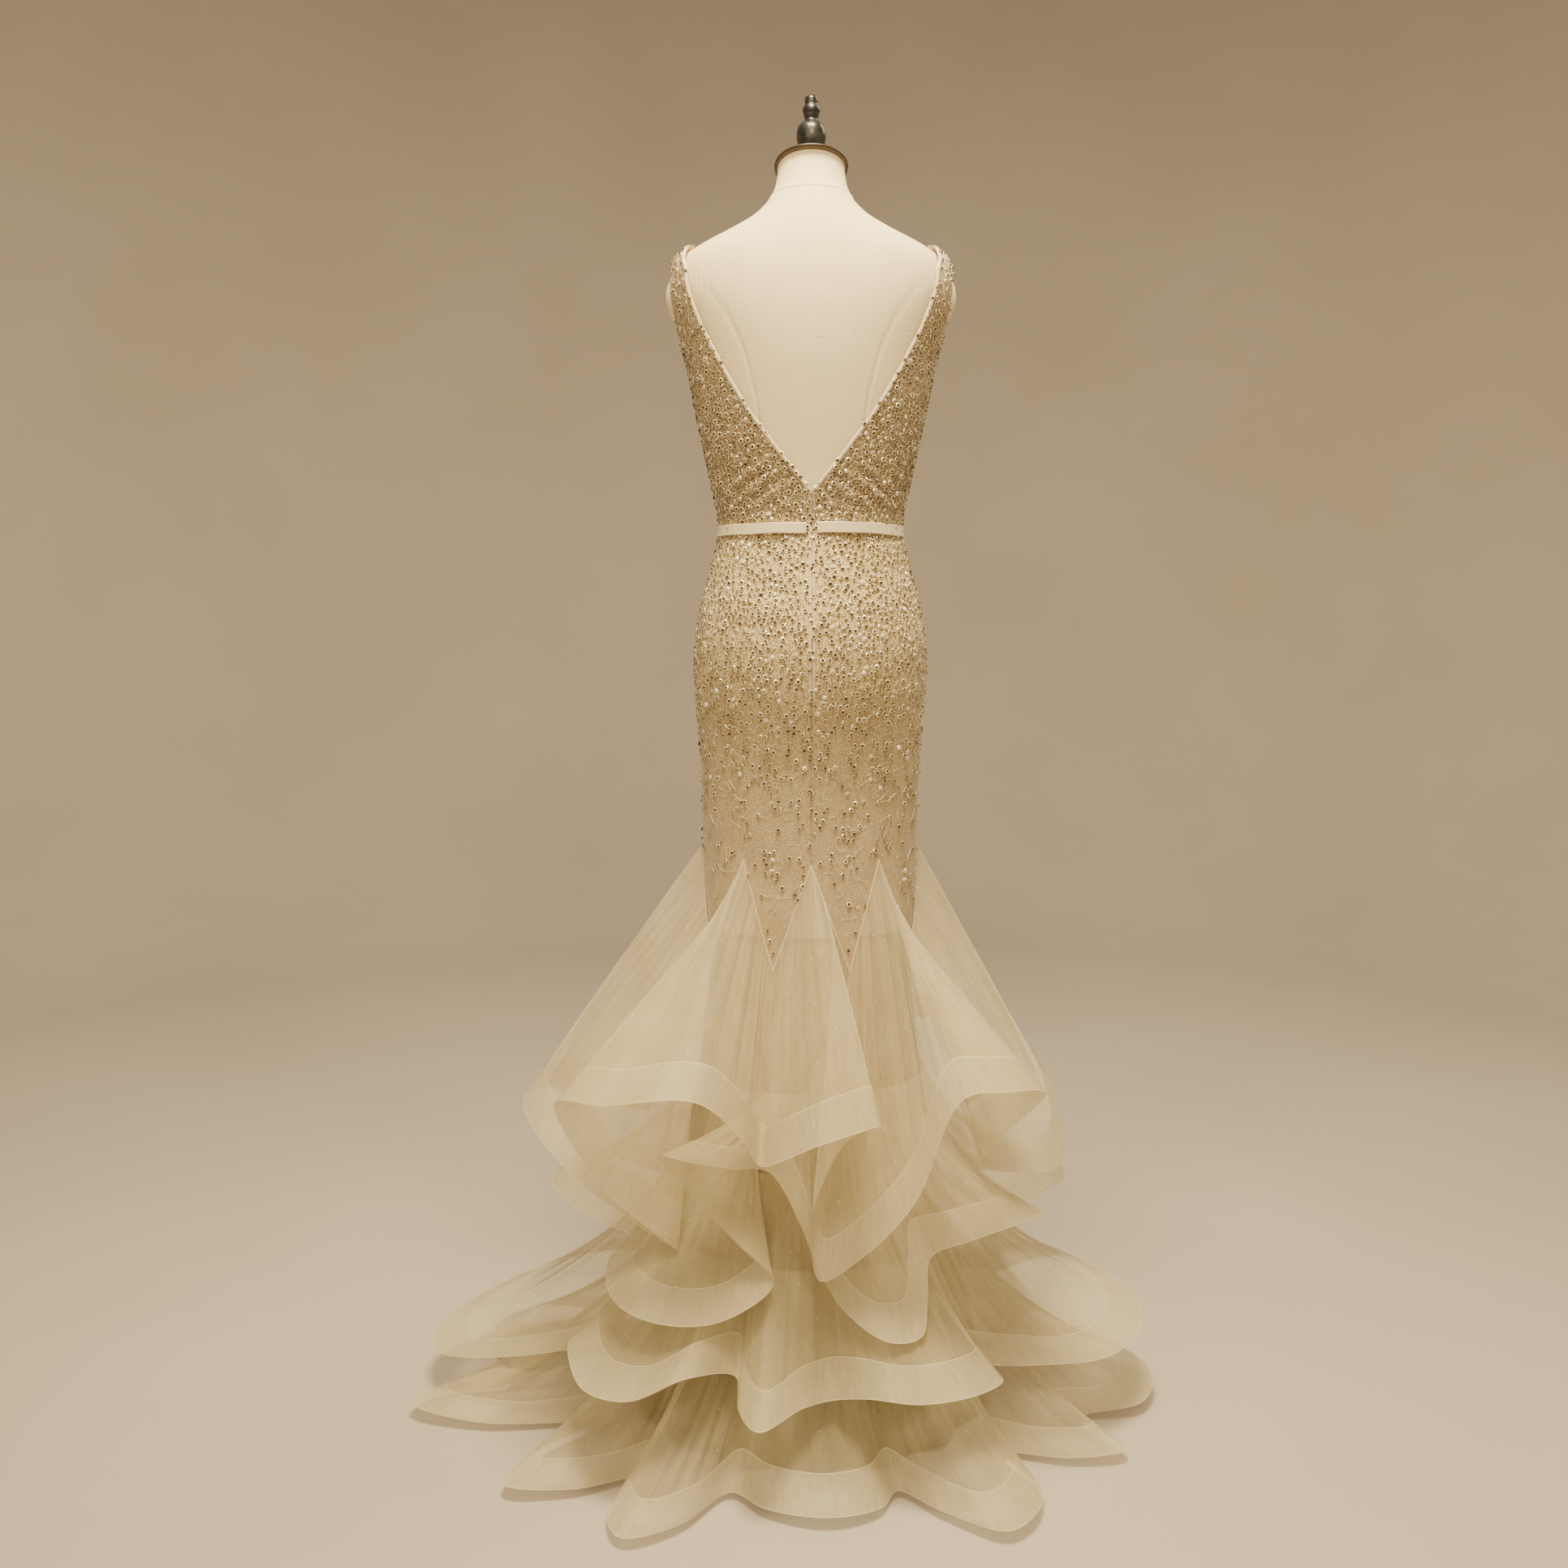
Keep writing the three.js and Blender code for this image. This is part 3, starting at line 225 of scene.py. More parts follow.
def grid_piece(name, grid, closed=False, flip=False, uv=None, attributes=None):
    """A smooth mesh object from a grid of points, rows by columns. A UV map can be given a point each."""
    rows, columns = grid.shape[:2]

    def corners(wide):
        number = np.arange(rows * wide).reshape(rows, wide)
        if closed and wide == columns:
            number = np.concatenate([number, number[:, :1]], 1)
        a, b, c, d = number[:-1, :-1], number[:-1, 1:], number[1:, 1:], number[1:, :-1]
        return np.stack([a, b, c, d] if flip else [a, d, c, b], -1).reshape(-1, 4)

    mesh = bpy.data.meshes.new(name)
    mesh.from_pydata(grid.reshape(-1, 3).tolist(), [], corners(columns).tolist())
    if uv is not None:
        layer = mesh.uv_layers.new(name="cloth")
        if closed:
            uv = np.concatenate([uv, 2 * uv[:, -1:] - uv[:, -2:-1]], 1)
        layer.data.foreach_set("uv", uv.reshape(-1, 2)[corners(uv.shape[1]).reshape(-1)].reshape(-1))
    for key, values in (attributes or {}).items():
        layer = mesh.attributes.new(key, "FLOAT", "POINT")
        layer.data.foreach_set("value", np.ascontiguousarray(values, dtype=np.float32).reshape(-1))
    mesh.polygons.foreach_set("use_smooth", np.ones(len(mesh.polygons), bool))
    mesh.update()
    piece = bpy.data.objects.new(name, mesh)
    bpy.context.collection.objects.link(piece)
    return piece


def finish_piece(piece, material, body=GOWN, replaces=()):
    """Gives a finished piece its material, slot and body."""
    piece.data.materials.clear()
    piece.data.materials.append(material)
    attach(piece, body)
    if replaces:
        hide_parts(*replaces)
    return piece


def soft_bump(add, join, shader, height, strength, distance):
    bump = add("Bump", {"Height": height, "Strength": strength, "Distance": distance})
    join(bump.outputs["Normal"], shader.inputs["Normal"])


def linen():
    """Plain-woven cream linen: fine crossed threads with thicker slubs along both."""
    material, shader, add, join = nodes_of("form_linen_cloth", {"Roughness": 0.82, "Sheen Weight": 0.15})
    place = add("TexCoord").outputs["Object"]
    weft = noise(add, place, (60, 60, 1500), 1.0, 2)
    warp = noise(add, place, (1300, 1300, 45), 1.0, 2)
    weave = add("Math", {0: weft, 1: warp}, operation="ADD")
    cloud = noise(add, place, scale=9, detail=3)
    shade = add("MixRGB", {"Fac": 0.5, "Color1": weave.outputs[0], "Color2": cloud})
    creams = [(0.36, (0.70, 0.57, 0.345)), (0.50, (0.90, 0.755, 0.475)), (0.8, (0.95, 0.825, 0.555))]
    tone = ramp(add, shade.outputs[0], creams)
    slub = noise(add, place, (34, 34, 620), 1.0)
    thick_thread = ramp(add, slub, [(0.70, (1, 1, 1)), (0.78, (0.70, 0.64, 0.55))])
    marked = add("MixRGB", {"Fac": 1.0, "Color1": tone, "Color2": thick_thread}, blend_type="MULTIPLY")
    join(marked.outputs[0], shader.inputs["Base Color"])
    soft_bump(add, join, shader, weave.outputs[0], 0.35, 0.0006)
    return material


LINEN = linen()
FORM_IN = -0.003


def form_torso():
    """The padded torso, a closed skin of rings, with shallow grooves where its panels are sewn."""
    heights = np.concatenate([np.linspace(1.6035, 1.52, 30), np.linspace(1.515, 0.830, 84)])
    azimuth = np.linspace(0, 360, 480, endpoint=False)
    z, a = np.meshgrid(heights, azimuth, indexing="ij")
    wrapped = (a + 180) % 360 - 180
    # The side panel's seam comes down from the armhole and runs in to the waist, on the back and front.
    seam_z = [0.83, 1.18, 1.34, 1.40, 1.44, 1.475, 1.50, 1.52]
    seam_at = np.interp(z, seam_z, [30, 27, 29, 33, 38, 46, 57, 74])
    seam_wide, seam_deep = 0.62, 0.0014
    from_back, from_front = np.abs(wrapped) - seam_at, 180 - np.abs(wrapped) - seam_at
    side_seams = np.exp(-((from_back / seam_wide) ** 2)) + np.exp(-((from_front / seam_wide) ** 2))
    grooves = side_seams * (z < 1.53) + np.exp(-((wrapped / 0.9) ** 2))
    rings = on_body(a, z, FORM_IN - seam_deep * np.clip(grooves, 0, 1))
    rings[0, :, 2], rings[-1, :, 2] = 1.6037, 0.830
    lids = [[ring.mean(0) + 0 * ring, (ring + ring.mean(0)) * 0.5] for ring in (rings[0], rings[-1])]
    grid = np.concatenate([lids[0], rings, lids[1][::-1]])
    piece = grid_piece("linen_torso", grid, closed=True)
    tidy_closed(piece)
    return finish_piece(piece, LINEN, replaces=["form_torso"])


def tidy_closed(piece):
    """Merges doubled points, as at a pole, and turns a closed skin's faces outwards."""
    mesh = bmesh.new()
    mesh.from_mesh(piece.data)
    bmesh.ops.remove_doubles(mesh, verts=mesh.verts, dist=1e-5)
    bmesh.ops.dissolve_degenerate(mesh, dist=1e-6, edges=mesh.edges)
    bmesh.ops.recalc_face_normals(mesh, faces=mesh.faces)
    mesh.to_mesh(piece.data)
    mesh.free()


form_torso()


def form_neck():
    """The neck, cut off on a slope that falls towards the front, with a stitched seam at its foot."""
    tilt = math.tan(math.radians(17))
    heights = np.linspace(1, 0, 26)
    azimuth = np.linspace(0, 360, 160, endpoint=False)
    share, a = np.meshgrid(heights, azimuth, indexing="ij")
    top = 1.642 - section_point(a, 1.642)[..., 1] * tilt
    z = 1.604 + (top - 1.604) * share
    grid = on_body(a, np.clip(z, 1.604, 1.668), FORM_IN)
    grid[..., 2] = z
    grid[:, :, :2] *= 1 + 0.012 * np.exp(-(((share - 1) / 0.06) ** 2))[..., None]
    centre_top = np.tile([0, 0, 1.642], (160, 1))
    centre_low = np.tile([0, 0, 1.604], (160, 1))
    piece = grid_piece("linen_neck", np.concatenate([[centre_top], grid, [centre_low]]), closed=True)
    tidy_closed(piece)
    return finish_piece(piece, LINEN, replaces=["form_neck"])


form_neck()


def arm_plate(side, name):
    """A low padded dome over the armhole, edged with a piped seam."""
    foot, dome, piping = -0.0027, 0.008, 0.0014
    around = np.linspace(0, 2 * math.pi, 64, endpoint=False)
    share, turn = np.meshgrid(np.linspace(0.02, 1, 14), around, indexing="ij")
    a = 90 + 9.5 * share * np.cos(turn)
    z = 1.474 + 0.035 * share * np.sin(turn)
    out = foot + 0.0008 + dome * (1 - share**2) + piping * np.exp(-(((share - 0.93) / 0.05) ** 2))
    top = on_body(side * a, z, out)
    under = on_body(side * a, z, foot)
    piece = grid_piece(name, np.concatenate([top, under[::-1]]), closed=True)
    tidy_closed(piece)
    return piece


for side, word in ((1, "right"), (-1, "left")):
    plate = arm_plate(side, f"linen_arm_plate_{word}")
    finish_piece(plate, LINEN, replaces=[f"form_arm_plate_{word}"])


# ------------------------------------------------------------------ neck cap and finial
# A dark polished wooden plate closes the neck. A black lacquered knob, turned on a lathe, screws into it.
def dark_wood():
    material, shader, add, join = nodes_of("cap_dark_wood", {"Roughness": 0.35})
    place = add("TexCoord").outputs["Object"]
    grain = noise(add, place, (20, 160, 160), detail=5)
    tone = ramp(add, grain, [(0.35, (0.022, 0.012, 0.008)), (0.7, (0.075, 0.038, 0.024))])
    join(tone, shader.inputs["Base Color"])
    soft_bump(add, join, shader, grain, 0.15, 0.0005)
    return material


def lathe_piece(name, profile, segments=64, slope=0.0):
    """A turned piece from (radius, height) points, closed on its axis."""
    turn = np.linspace(0, 2 * math.pi, segments, endpoint=False)
    radius = np.array([p[0] for p in profile])[:, None]
    height = np.array([p[1] for p in profile])[:, None]
    x, y = radius * np.sin(turn), -radius * np.cos(turn)
    piece = grid_piece(name, np.stack([x, y, height - y * slope + 0 * x], -1), closed=True)
    tidy_closed(piece)
    return piece


def neck_cap():
    tilt = math.tan(math.radians(17))
    azimuth = np.linspace(0, 360, 128, endpoint=False)
    edge = section_point(azimuth, 1.642)
    rows = []
    for grow, up in ((None, 0.0073), (-0.020, 0.0072), (-0.006, 0.0066), (-0.001, 0.0056), (0.0012, 0.0040),
                     (0.0016, 0.0025), (0.0012, 0.0010), (0.0, 0.0003), (None, 0.0003)):
        share = 0 * azimuth if grow is None else 1 + grow / np.hypot(edge[:, 0], edge[:, 1])
        x, y = edge[:, 0] * share, edge[:, 1] * share
        rows.append(np.stack([x, y, 1.642 - y * tilt + up], -1))
    piece = grid_piece("wooden_neck_cap", np.stack(rows), closed=True)
    tidy_closed(piece)
    return finish_piece(piece, dark_wood(), replaces=["form_neck_cap"])


neck_cap()


def black_lacquer():
    material, shader, add, join = nodes_of("finial_black_lacquer", {"Coat Weight": 0.3})
    place = add("TexCoord").outputs["Object"]
    wear = noise(add, place, scale=90, detail=3)
    tone = ramp(add, wear, [(0.4, (0.010, 0.010, 0.012)), (0.75, (0.030, 0.029, 0.032))])
    join(tone, shader.inputs["Base Color"])
    gloss = ramp(add, wear, [(0.3, (0.22, 0.22, 0.22)), (0.8, (0.4, 0.4, 0.4))])
    join(gloss, shader.inputs["Roughness"])
    return material


# Radius and height of each turning, from the foot up.
FINIAL = [
    (0, 1.6546), (0.0160, 1.6546), (0.0166, 1.6560), (0.0150, 1.6600), (0.0152, 1.6640),
    (0.0164, 1.6680), (0.0180, 1.6730), (0.0189, 1.6790), (0.0190, 1.6850), (0.0181, 1.6900),
    (0.0160, 1.6945), (0.0125, 1.6980), (0.0092, 1.7002), (0.0083, 1.7020), (0.0086, 1.7040),
    (0.0098, 1.7060), (0.0096, 1.7080), (0.0106, 1.7100), (0.0114, 1.7130), (0.0110, 1.7160),
    (0.0092, 1.7190), (0.0080, 1.7205), (0.0084, 1.7220), (0.0086, 1.7260), (0.0078, 1.7295),
    (0.0056, 1.7312), (0, 1.7318),
]
finial = lathe_piece("lacquered_finial", FINIAL)
finish_piece(finial, black_lacquer(), replaces=["form_finial"])


# ------------------------------------------------------------------ stand
# A steel tube on a heavy round plate, painted dark grey. The hem hides both.
def grey_paint():
    material, shader, add, join = nodes_of("stand_grey_paint", {"Roughness": 0.5})
    place = add("TexCoord").outputs["Object"]
    speck = noise(add, place, scale=260, detail=2)
    tone = ramp(add, speck, [(0.4, (0.12, 0.12, 0.125)), (0.7, (0.17, 0.17, 0.175))])
    join(tone, shader.inputs["Base Color"])
    soft_bump(add, join, shader, speck, 0.1, 0.0004)
    return material


def repaint(solid, material):
    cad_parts[solid].data.materials.clear()
    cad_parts[solid].data.materials.append(material)


STAND_PAINT = grey_paint()
for solid in ("stand_pole", "stand_base"):
    repaint(solid, STAND_PAINT)


# ------------------------------------------------------------------ beaded cloth
# Tan tulle on a nude lining, worked all over by hand with small ring sequins, seed beads and crystals.
# The work is closest at the waist and hips and thins out to single beads near the knee.
EASE = 0.0015
CLOTH = 0.0015
OUTSIDE = EASE + CLOTH


def beaded_ground():
    """The cloth under the beads: glittering tan tulle over a nude lining, in fine upright pleats."""
    material, shader, add, join = nodes_of("tan_tulle_on_lining", {"Roughness": 0.42, "Sheen Weight": 0.25})
    place = add("TexCoord").outputs["Object"]
    density = add("Attribute", attribute_name="bead_density").outputs["Fac"]
    tint = noise(add, place, scale=11, detail=4)
    pleat = noise(add, place, (260, 260, 14), detail=3)
    speck = noise(add, place, scale=520, detail=2)
    both = add("MixRGB", {"Fac": 0.45, "Color1": tint, "Color2": pleat})
    open_cloth = ramp(add, both.outputs[0], [(0.36, (0.35, 0.26, 0.155)), (0.62, (0.62, 0.50, 0.32))])
    beaded_tans = [(0.40, (0.20, 0.135, 0.07)), (0.50, (0.54, 0.42, 0.25)), (0.60, (0.90, 0.80, 0.54))]
    close_cloth = ramp(add, speck, beaded_tans)
    # Painted light and shade by height: lighter, yellower hips, a darker bodice from the waist up, lighter
    # again towards the bust, standing in for warm light from above; the bodice's ground is also a browner tan
    # than the skirt's.
    skirt_tint_and_light, bodice_tint_and_shade, bust_tint_and_shade = (1.0, 0.98, 0.80), (0.66, 0.62, 0.58), (0.90, 0.88, 0.84)
    height = add("SeparateXYZ", {"Vector": place}).outputs["Z"]
    over_metre = add("Math", {0: height, 1: 1.0}, operation="SUBTRACT")
    lit_and_shaded_by_height = [(0.05, skirt_tint_and_light), (0.185, skirt_tint_and_light), (0.20, bodice_tint_and_shade), (0.44, bust_tint_and_shade)]
    # The height ramp below is painted light and shade, multiplied into the beaded ground.
    lining = ramp(add, over_metre.outputs[0], lit_and_shaded_by_height)
    close_cloth_lit_and_shaded = add("MixRGB", {"Fac": 1.0, "Color1": close_cloth, "Color2": lining}, blend_type="MULTIPLY")
    base = add("MixRGB", {"Fac": density, "Color1": open_cloth, "Color2": close_cloth_lit_and_shaded.outputs[0]})
    # Painted glints: the tulle's real glitter flecks, painted pale gold as if each caught the light.
    glitter = add("TexVoronoi", {"Vector": place, "Scale": 620}, feature="F1")
    glitter_glint_flecks = ramp(add, glitter.outputs["Color"], [(0.88, (0, 0, 0)), (0.91, (1, 1, 1))])
    lit = add("MixRGB", {"Fac": glitter_glint_flecks, "Color1": base.outputs[0], "Color2": (0.85, 0.74, 0.52, 1)})
    join(lit.outputs[0], shader.inputs["Base Color"])
    height = add("Math", {0: speck, 1: pleat}, operation="ADD")
    soft_bump(add, join, shader, height.outputs[0], 0.4, 0.0014)
    return material


BEADED_GROUND = beaded_ground()

# The edge of each bodice half: heights and azimuths of its neckline edge and of its side edge.
BACK_EDGE = np.array(
    [(1180.2, 0.3, 1180.2, 89.9), (1228, 0.3, 1232, 89.9), (1269, 15, 1275, 89.9), (1322, 31, 1325, 89.9),
     (1384, 45.5, 1375, 89.9), (1430, 53, 1420, 89.9), (1468, 56, 1455, 78.5), (1504, 58.5, 1490, 75.5),
     (1530, 67, 1512, 80), (1538, 78, 1517, 85), (1543, 89.8, 1521, 89.8)], float)
FRONT_EDGE = np.array(
    [(1180.2, 180, 1180.2, 90.1), (1232, 180, 1232, 90.1), (1290, 180, 1283, 90.1), (1345, 180, 1332, 90.1),
     (1386, 180, 1378, 90.1), (1425, 180, 1420, 90.1), (1452, 160, 1455, 101.5), (1482, 144, 1490, 104.5),
     (1516, 126, 1512, 100), (1533, 108, 1517, 95), (1543, 90.2, 1521, 90.2)], float)


EDGE_STEPS = 190


def along_rows(table, count):
    """More rows between the rows of a table, on straight runs softened at each row."""
    at = np.linspace(0, len(table) - 1, count)
    fine = np.stack([np.interp(at, np.arange(len(table)), table[:, k]) for k in range(table.shape[1])], -1)
    rounded = fine.copy()
    for _ in range(6):
        rounded[1:-1] = (rounded[:-2] + 2 * rounded[1:-1] + rounded[2:]) / 4
    return rounded


def drag(azimuth, z):
    """Soft drag lines in the close cloth: slanting off the waist at the back, and across the hip."""
    side = np.abs((azimuth + 180) % 360 - 180)
    lower_back = np.exp(-(((z - 1.235) / 0.035) ** 2)) * np.exp(-(((side - 38) / 26) ** 2))
    slant = np.sin((z - 1.2 + side * 0.0011) * 2 * math.pi / 0.022)
    hip = np.exp(-(((z - 1.09) / 0.05) ** 2)) * np.exp(-(((side - 20) / 24) ** 2))
    across = np.sin((z - side * 0.0006) * 2 * math.pi / 0.05)
    knee = np.exp(-(((z - 0.80) / 0.08) ** 2))
    upright = np.sin(side * math.pi / 13)
    return 0.0021 * lower_back * slant + 0.0008 * hip * across + 0.0012 * knee * upright


def bead_density(azimuth, z):
    """How closely the beads are sewn, from 0 to 1, by height, and in loose uprights on the skirt."""
    side = np.abs((azimuth + 180) % 360 - 180)
    heights = [0.60, 0.74, 0.82, 0.90, 0.98, 1.06, 1.34, 1.42, 1.50]
    close = np.interp(z, heights, [0.10, 0.16, 0.28, 0.44, 0.70, 0.95, 1.0, 0.85, 0.7])
    return np.clip(close + 0.08 * np.sin(side * 0.35) * (z < 1.0), 0.02, 1)


def cloth_uv(grid):
    """Distances in metres along the rows and down the columns of a grid of points."""
    over = np.linalg.norm(np.diff(grid, axis=1), axis=-1).mean(0)
    down = np.linalg.norm(np.diff(grid, axis=0), axis=-1).mean(1)
    u = np.concatenate([[0], np.cumsum(over)])
    v = np.concatenate([[0], np.cumsum(down)])
    return np.stack(np.meshgrid(u, v), -1)


def bodice_spots(table, mirror):
    """Azimuths and heights over one half of the bodice, from its neckline edge to its side edge."""
    rows = along_rows(table, EDGE_STEPS)
    t = np.linspace(0, 1, 64)[None, :]
    z = (rows[:, 0:1] + (rows[:, 2:3] - rows[:, 0:1]) * t) / 1000
    a = rows[:, 1:2] + (rows[:, 3:4] - rows[:, 1:2]) * t
    return a * mirror, z


def thicken(piece, thickness):
    """Gives an open cloth its wall, inwards from its outer face."""
    piece["outer_faces"] = len(piece.data.polygons)
    wall = piece.modifiers.new("wall", "SOLIDIFY")
    wall.thickness, wall.offset = thickness, -1
    bpy.context.view_layer.update()
    made = bpy.data.meshes.new_from_object(piece.evaluated_get(bpy.context.evaluated_depsgraph_get()))
    piece.modifiers.clear()
    piece.data = made


def part_halves(piece, rows, columns):
    """Takes out the strip between the two halves of a piece and welds them where they meet."""
    mesh = bmesh.new()
    mesh.from_mesh(piece.data)
    mesh.faces.ensure_lookup_table()
    strip = [mesh.faces[row * (columns - 1) + columns // 2 - 1] for row in range(rows - 1)]
    bmesh.ops.delete(mesh, geom=strip, context="FACES_ONLY")
    bmesh.ops.remove_doubles(mesh, verts=mesh.verts, dist=1e-5)
    mesh.to_mesh(piece.data)
    mesh.free()


PANELS = []


def panel(word, azimuth, z, flip, halves=False):
    """One cut piece of the beaded cloth, from a grid of azimuths and heights."""
    name = "beaded_" + word
    grid = on_body(azimuth, z, OUTSIDE + drag(azimuth, z))
    closeness = {"bead_density": bead_density(azimuth, z)}
    piece = grid_piece(name, grid, flip=flip, uv=cloth_uv(grid), attributes=closeness)
    if halves:
        part_halves(piece, *azimuth.shape)
    thicken(piece, CLOTH)
    finish_piece(piece, BEADED_GROUND, replaces=[word])
    PANELS.append(piece)


for mirror, word in ((1, "right"), (-1, "left")):
    a, z = bodice_spots(BACK_EDGE, mirror)
    panel(f"bodice_back_{word}", a, z, mirror > 0)
# The front is one piece, with its halves parted above the foot of the neckline.
a, z = bodice_spots(FRONT_EDGE, 1)
a = np.concatenate([a[:, ::-1], 360 - a], 1)
z = np.concatenate([z[:, ::-1], z], 1)
panel("bodice_front", a, z, True, halves=True)

# The skirt's lower edge runs up into a notch at each godet and down to a point at each tongue.
# One row a turn of the edge: its azimuth either side of centre back, and its height in millimetres.
NOTCHES = np.array(
    [(0, 750), (20, 613), (38, 754), (64, 613), (90, 762),
     (112, 613), (135, 756), (158, 613), (180, 752)], float
)


def edge_z(azimuth):
    turned = np.abs((np.asarray(azimuth, float) + 180) % 360 - 180)
    return np.interp(turned, NOTCHES[:, 0], NOTCHES[:, 1]) / 1000


SKIRT_TOP = 1.1798


def skirt_spots(start, end):
    """Azimuths and heights over a skirt panel, in columns from the waist to the notched edge."""
    count = int(abs(end - start) * 1.2) + 1
    edges = [n[0] for n in NOTCHES if min(start, end) < n[0] < max(start, end)]
    a = np.unique(np.concatenate([np.linspace(start, end, count), edges]))
    down = np.linspace(0, 1, 96) ** 0.9
    low = edge_z(a)
    z = SKIRT_TOP + (low[None, :] - SKIRT_TOP) * down[:, None]
    a = np.broadcast_to(a, z.shape).copy()
    if start < 1:
        # Below the zip the two back panels meet edge to edge.
        opening = np.interp(z[:, 0], [0.955, 0.975], [0.02, 0.3])
        a[:, 0] = opening
    return a, z


for mirror, word in ((1, "right"), (-1, "left")):
    a, z = skirt_spots(0.3, 89.97)
    panel(f"skirt_back_{word}", a * mirror, z, mirror < 0)
a, z = skirt_spots(90.03, 180)
a = np.concatenate([a, 360 - a[:, ::-1][:, 1:]], 1)
z = np.concatenate([z, z[:, ::-1][:, 1:]], 1)
panel("skirt_front", a, z, False)


def skirt_lining():
    azimuth = np.linspace(0, 360, 160, endpoint=False)
    z, a = np.meshgrid(np.linspace(0.826, 0.658, 24), azimuth, indexing="ij")
    grid = on_body(a, z, 0.0003)
    piece = grid_piece("nude_skirt_lining", grid, closed=True, uv=cloth_uv(grid))
    material, shader, add, join = nodes_of("nude_lining_satin", {"Roughness": 0.55})
    place = add("TexCoord").outputs["Object"]
    weave = noise(add, place, (400, 400, 1200), detail=2)
    tone = ramp(add, weave, [(0.35, (0.46, 0.34, 0.22)), (0.65, (0.54, 0.41, 0.28))])
    join(tone, shader.inputs["Base Color"])
    soft_bump(add, join, shader, weave, 0.1, 0.0004)
    finish_piece(piece, material, replaces=["skirt_lining"])


skirt_lining()


# ------------------------------------------------------------------ sequins and beads
# Rings of pale gold foil, each sewn down with a seed bead in its hole. They stand off the cloth at
# slightly different angles, so that they catch the light one by one.
def sequin_foil():
    fixed = {"Metallic": 0.2, "Roughness": 0.2, "Specular IOR Level": 0.8}
    material, shader, add, join = nodes_of("pale_gold_sequins", fixed)
    tone = add("Attribute", attribute_name="tone").outputs["Fac"]
    heart = add("Attribute", attribute_name="heart").outputs["Fac"]
    # The palest tones, near white, are painted glints standing in for the sparkle of clear crystals; the rest
    # are the foil's own tones at random.
    rim = ramp(add, tone, [(0.0, (0.46, 0.355, 0.20)), (0.3, (0.70, 0.57, 0.34)), (0.7, (0.92, 0.79, 0.50)),
                           (0.96, (0.97, 0.90, 0.70)), (0.99, (1.0, 0.99, 0.97))])
    core = ramp(add, tone, [(0.0, (0.022, 0.015, 0.010)), (0.86, (0.070, 0.048, 0.030)),
                            (0.92, (0.50, 0.37, 0.20)), (0.985, (1.0, 0.98, 0.95))])
    colour = add("MixRGB", {"Fac": heart, "Color1": rim, "Color2": core})
    join(colour.outputs[0], shader.inputs["Base Color"])
    return material


SEQUIN_FOIL = sequin_foil()


# The least distance between beads, their rings, how far they stand off and how far they lean.
BEADING = {
    "Pitch": 0.0066, "Ring radius": 0.0024, "Stand off": 0.0017, "Tilt": 0.5, "Most per square metre": 60000.0
}


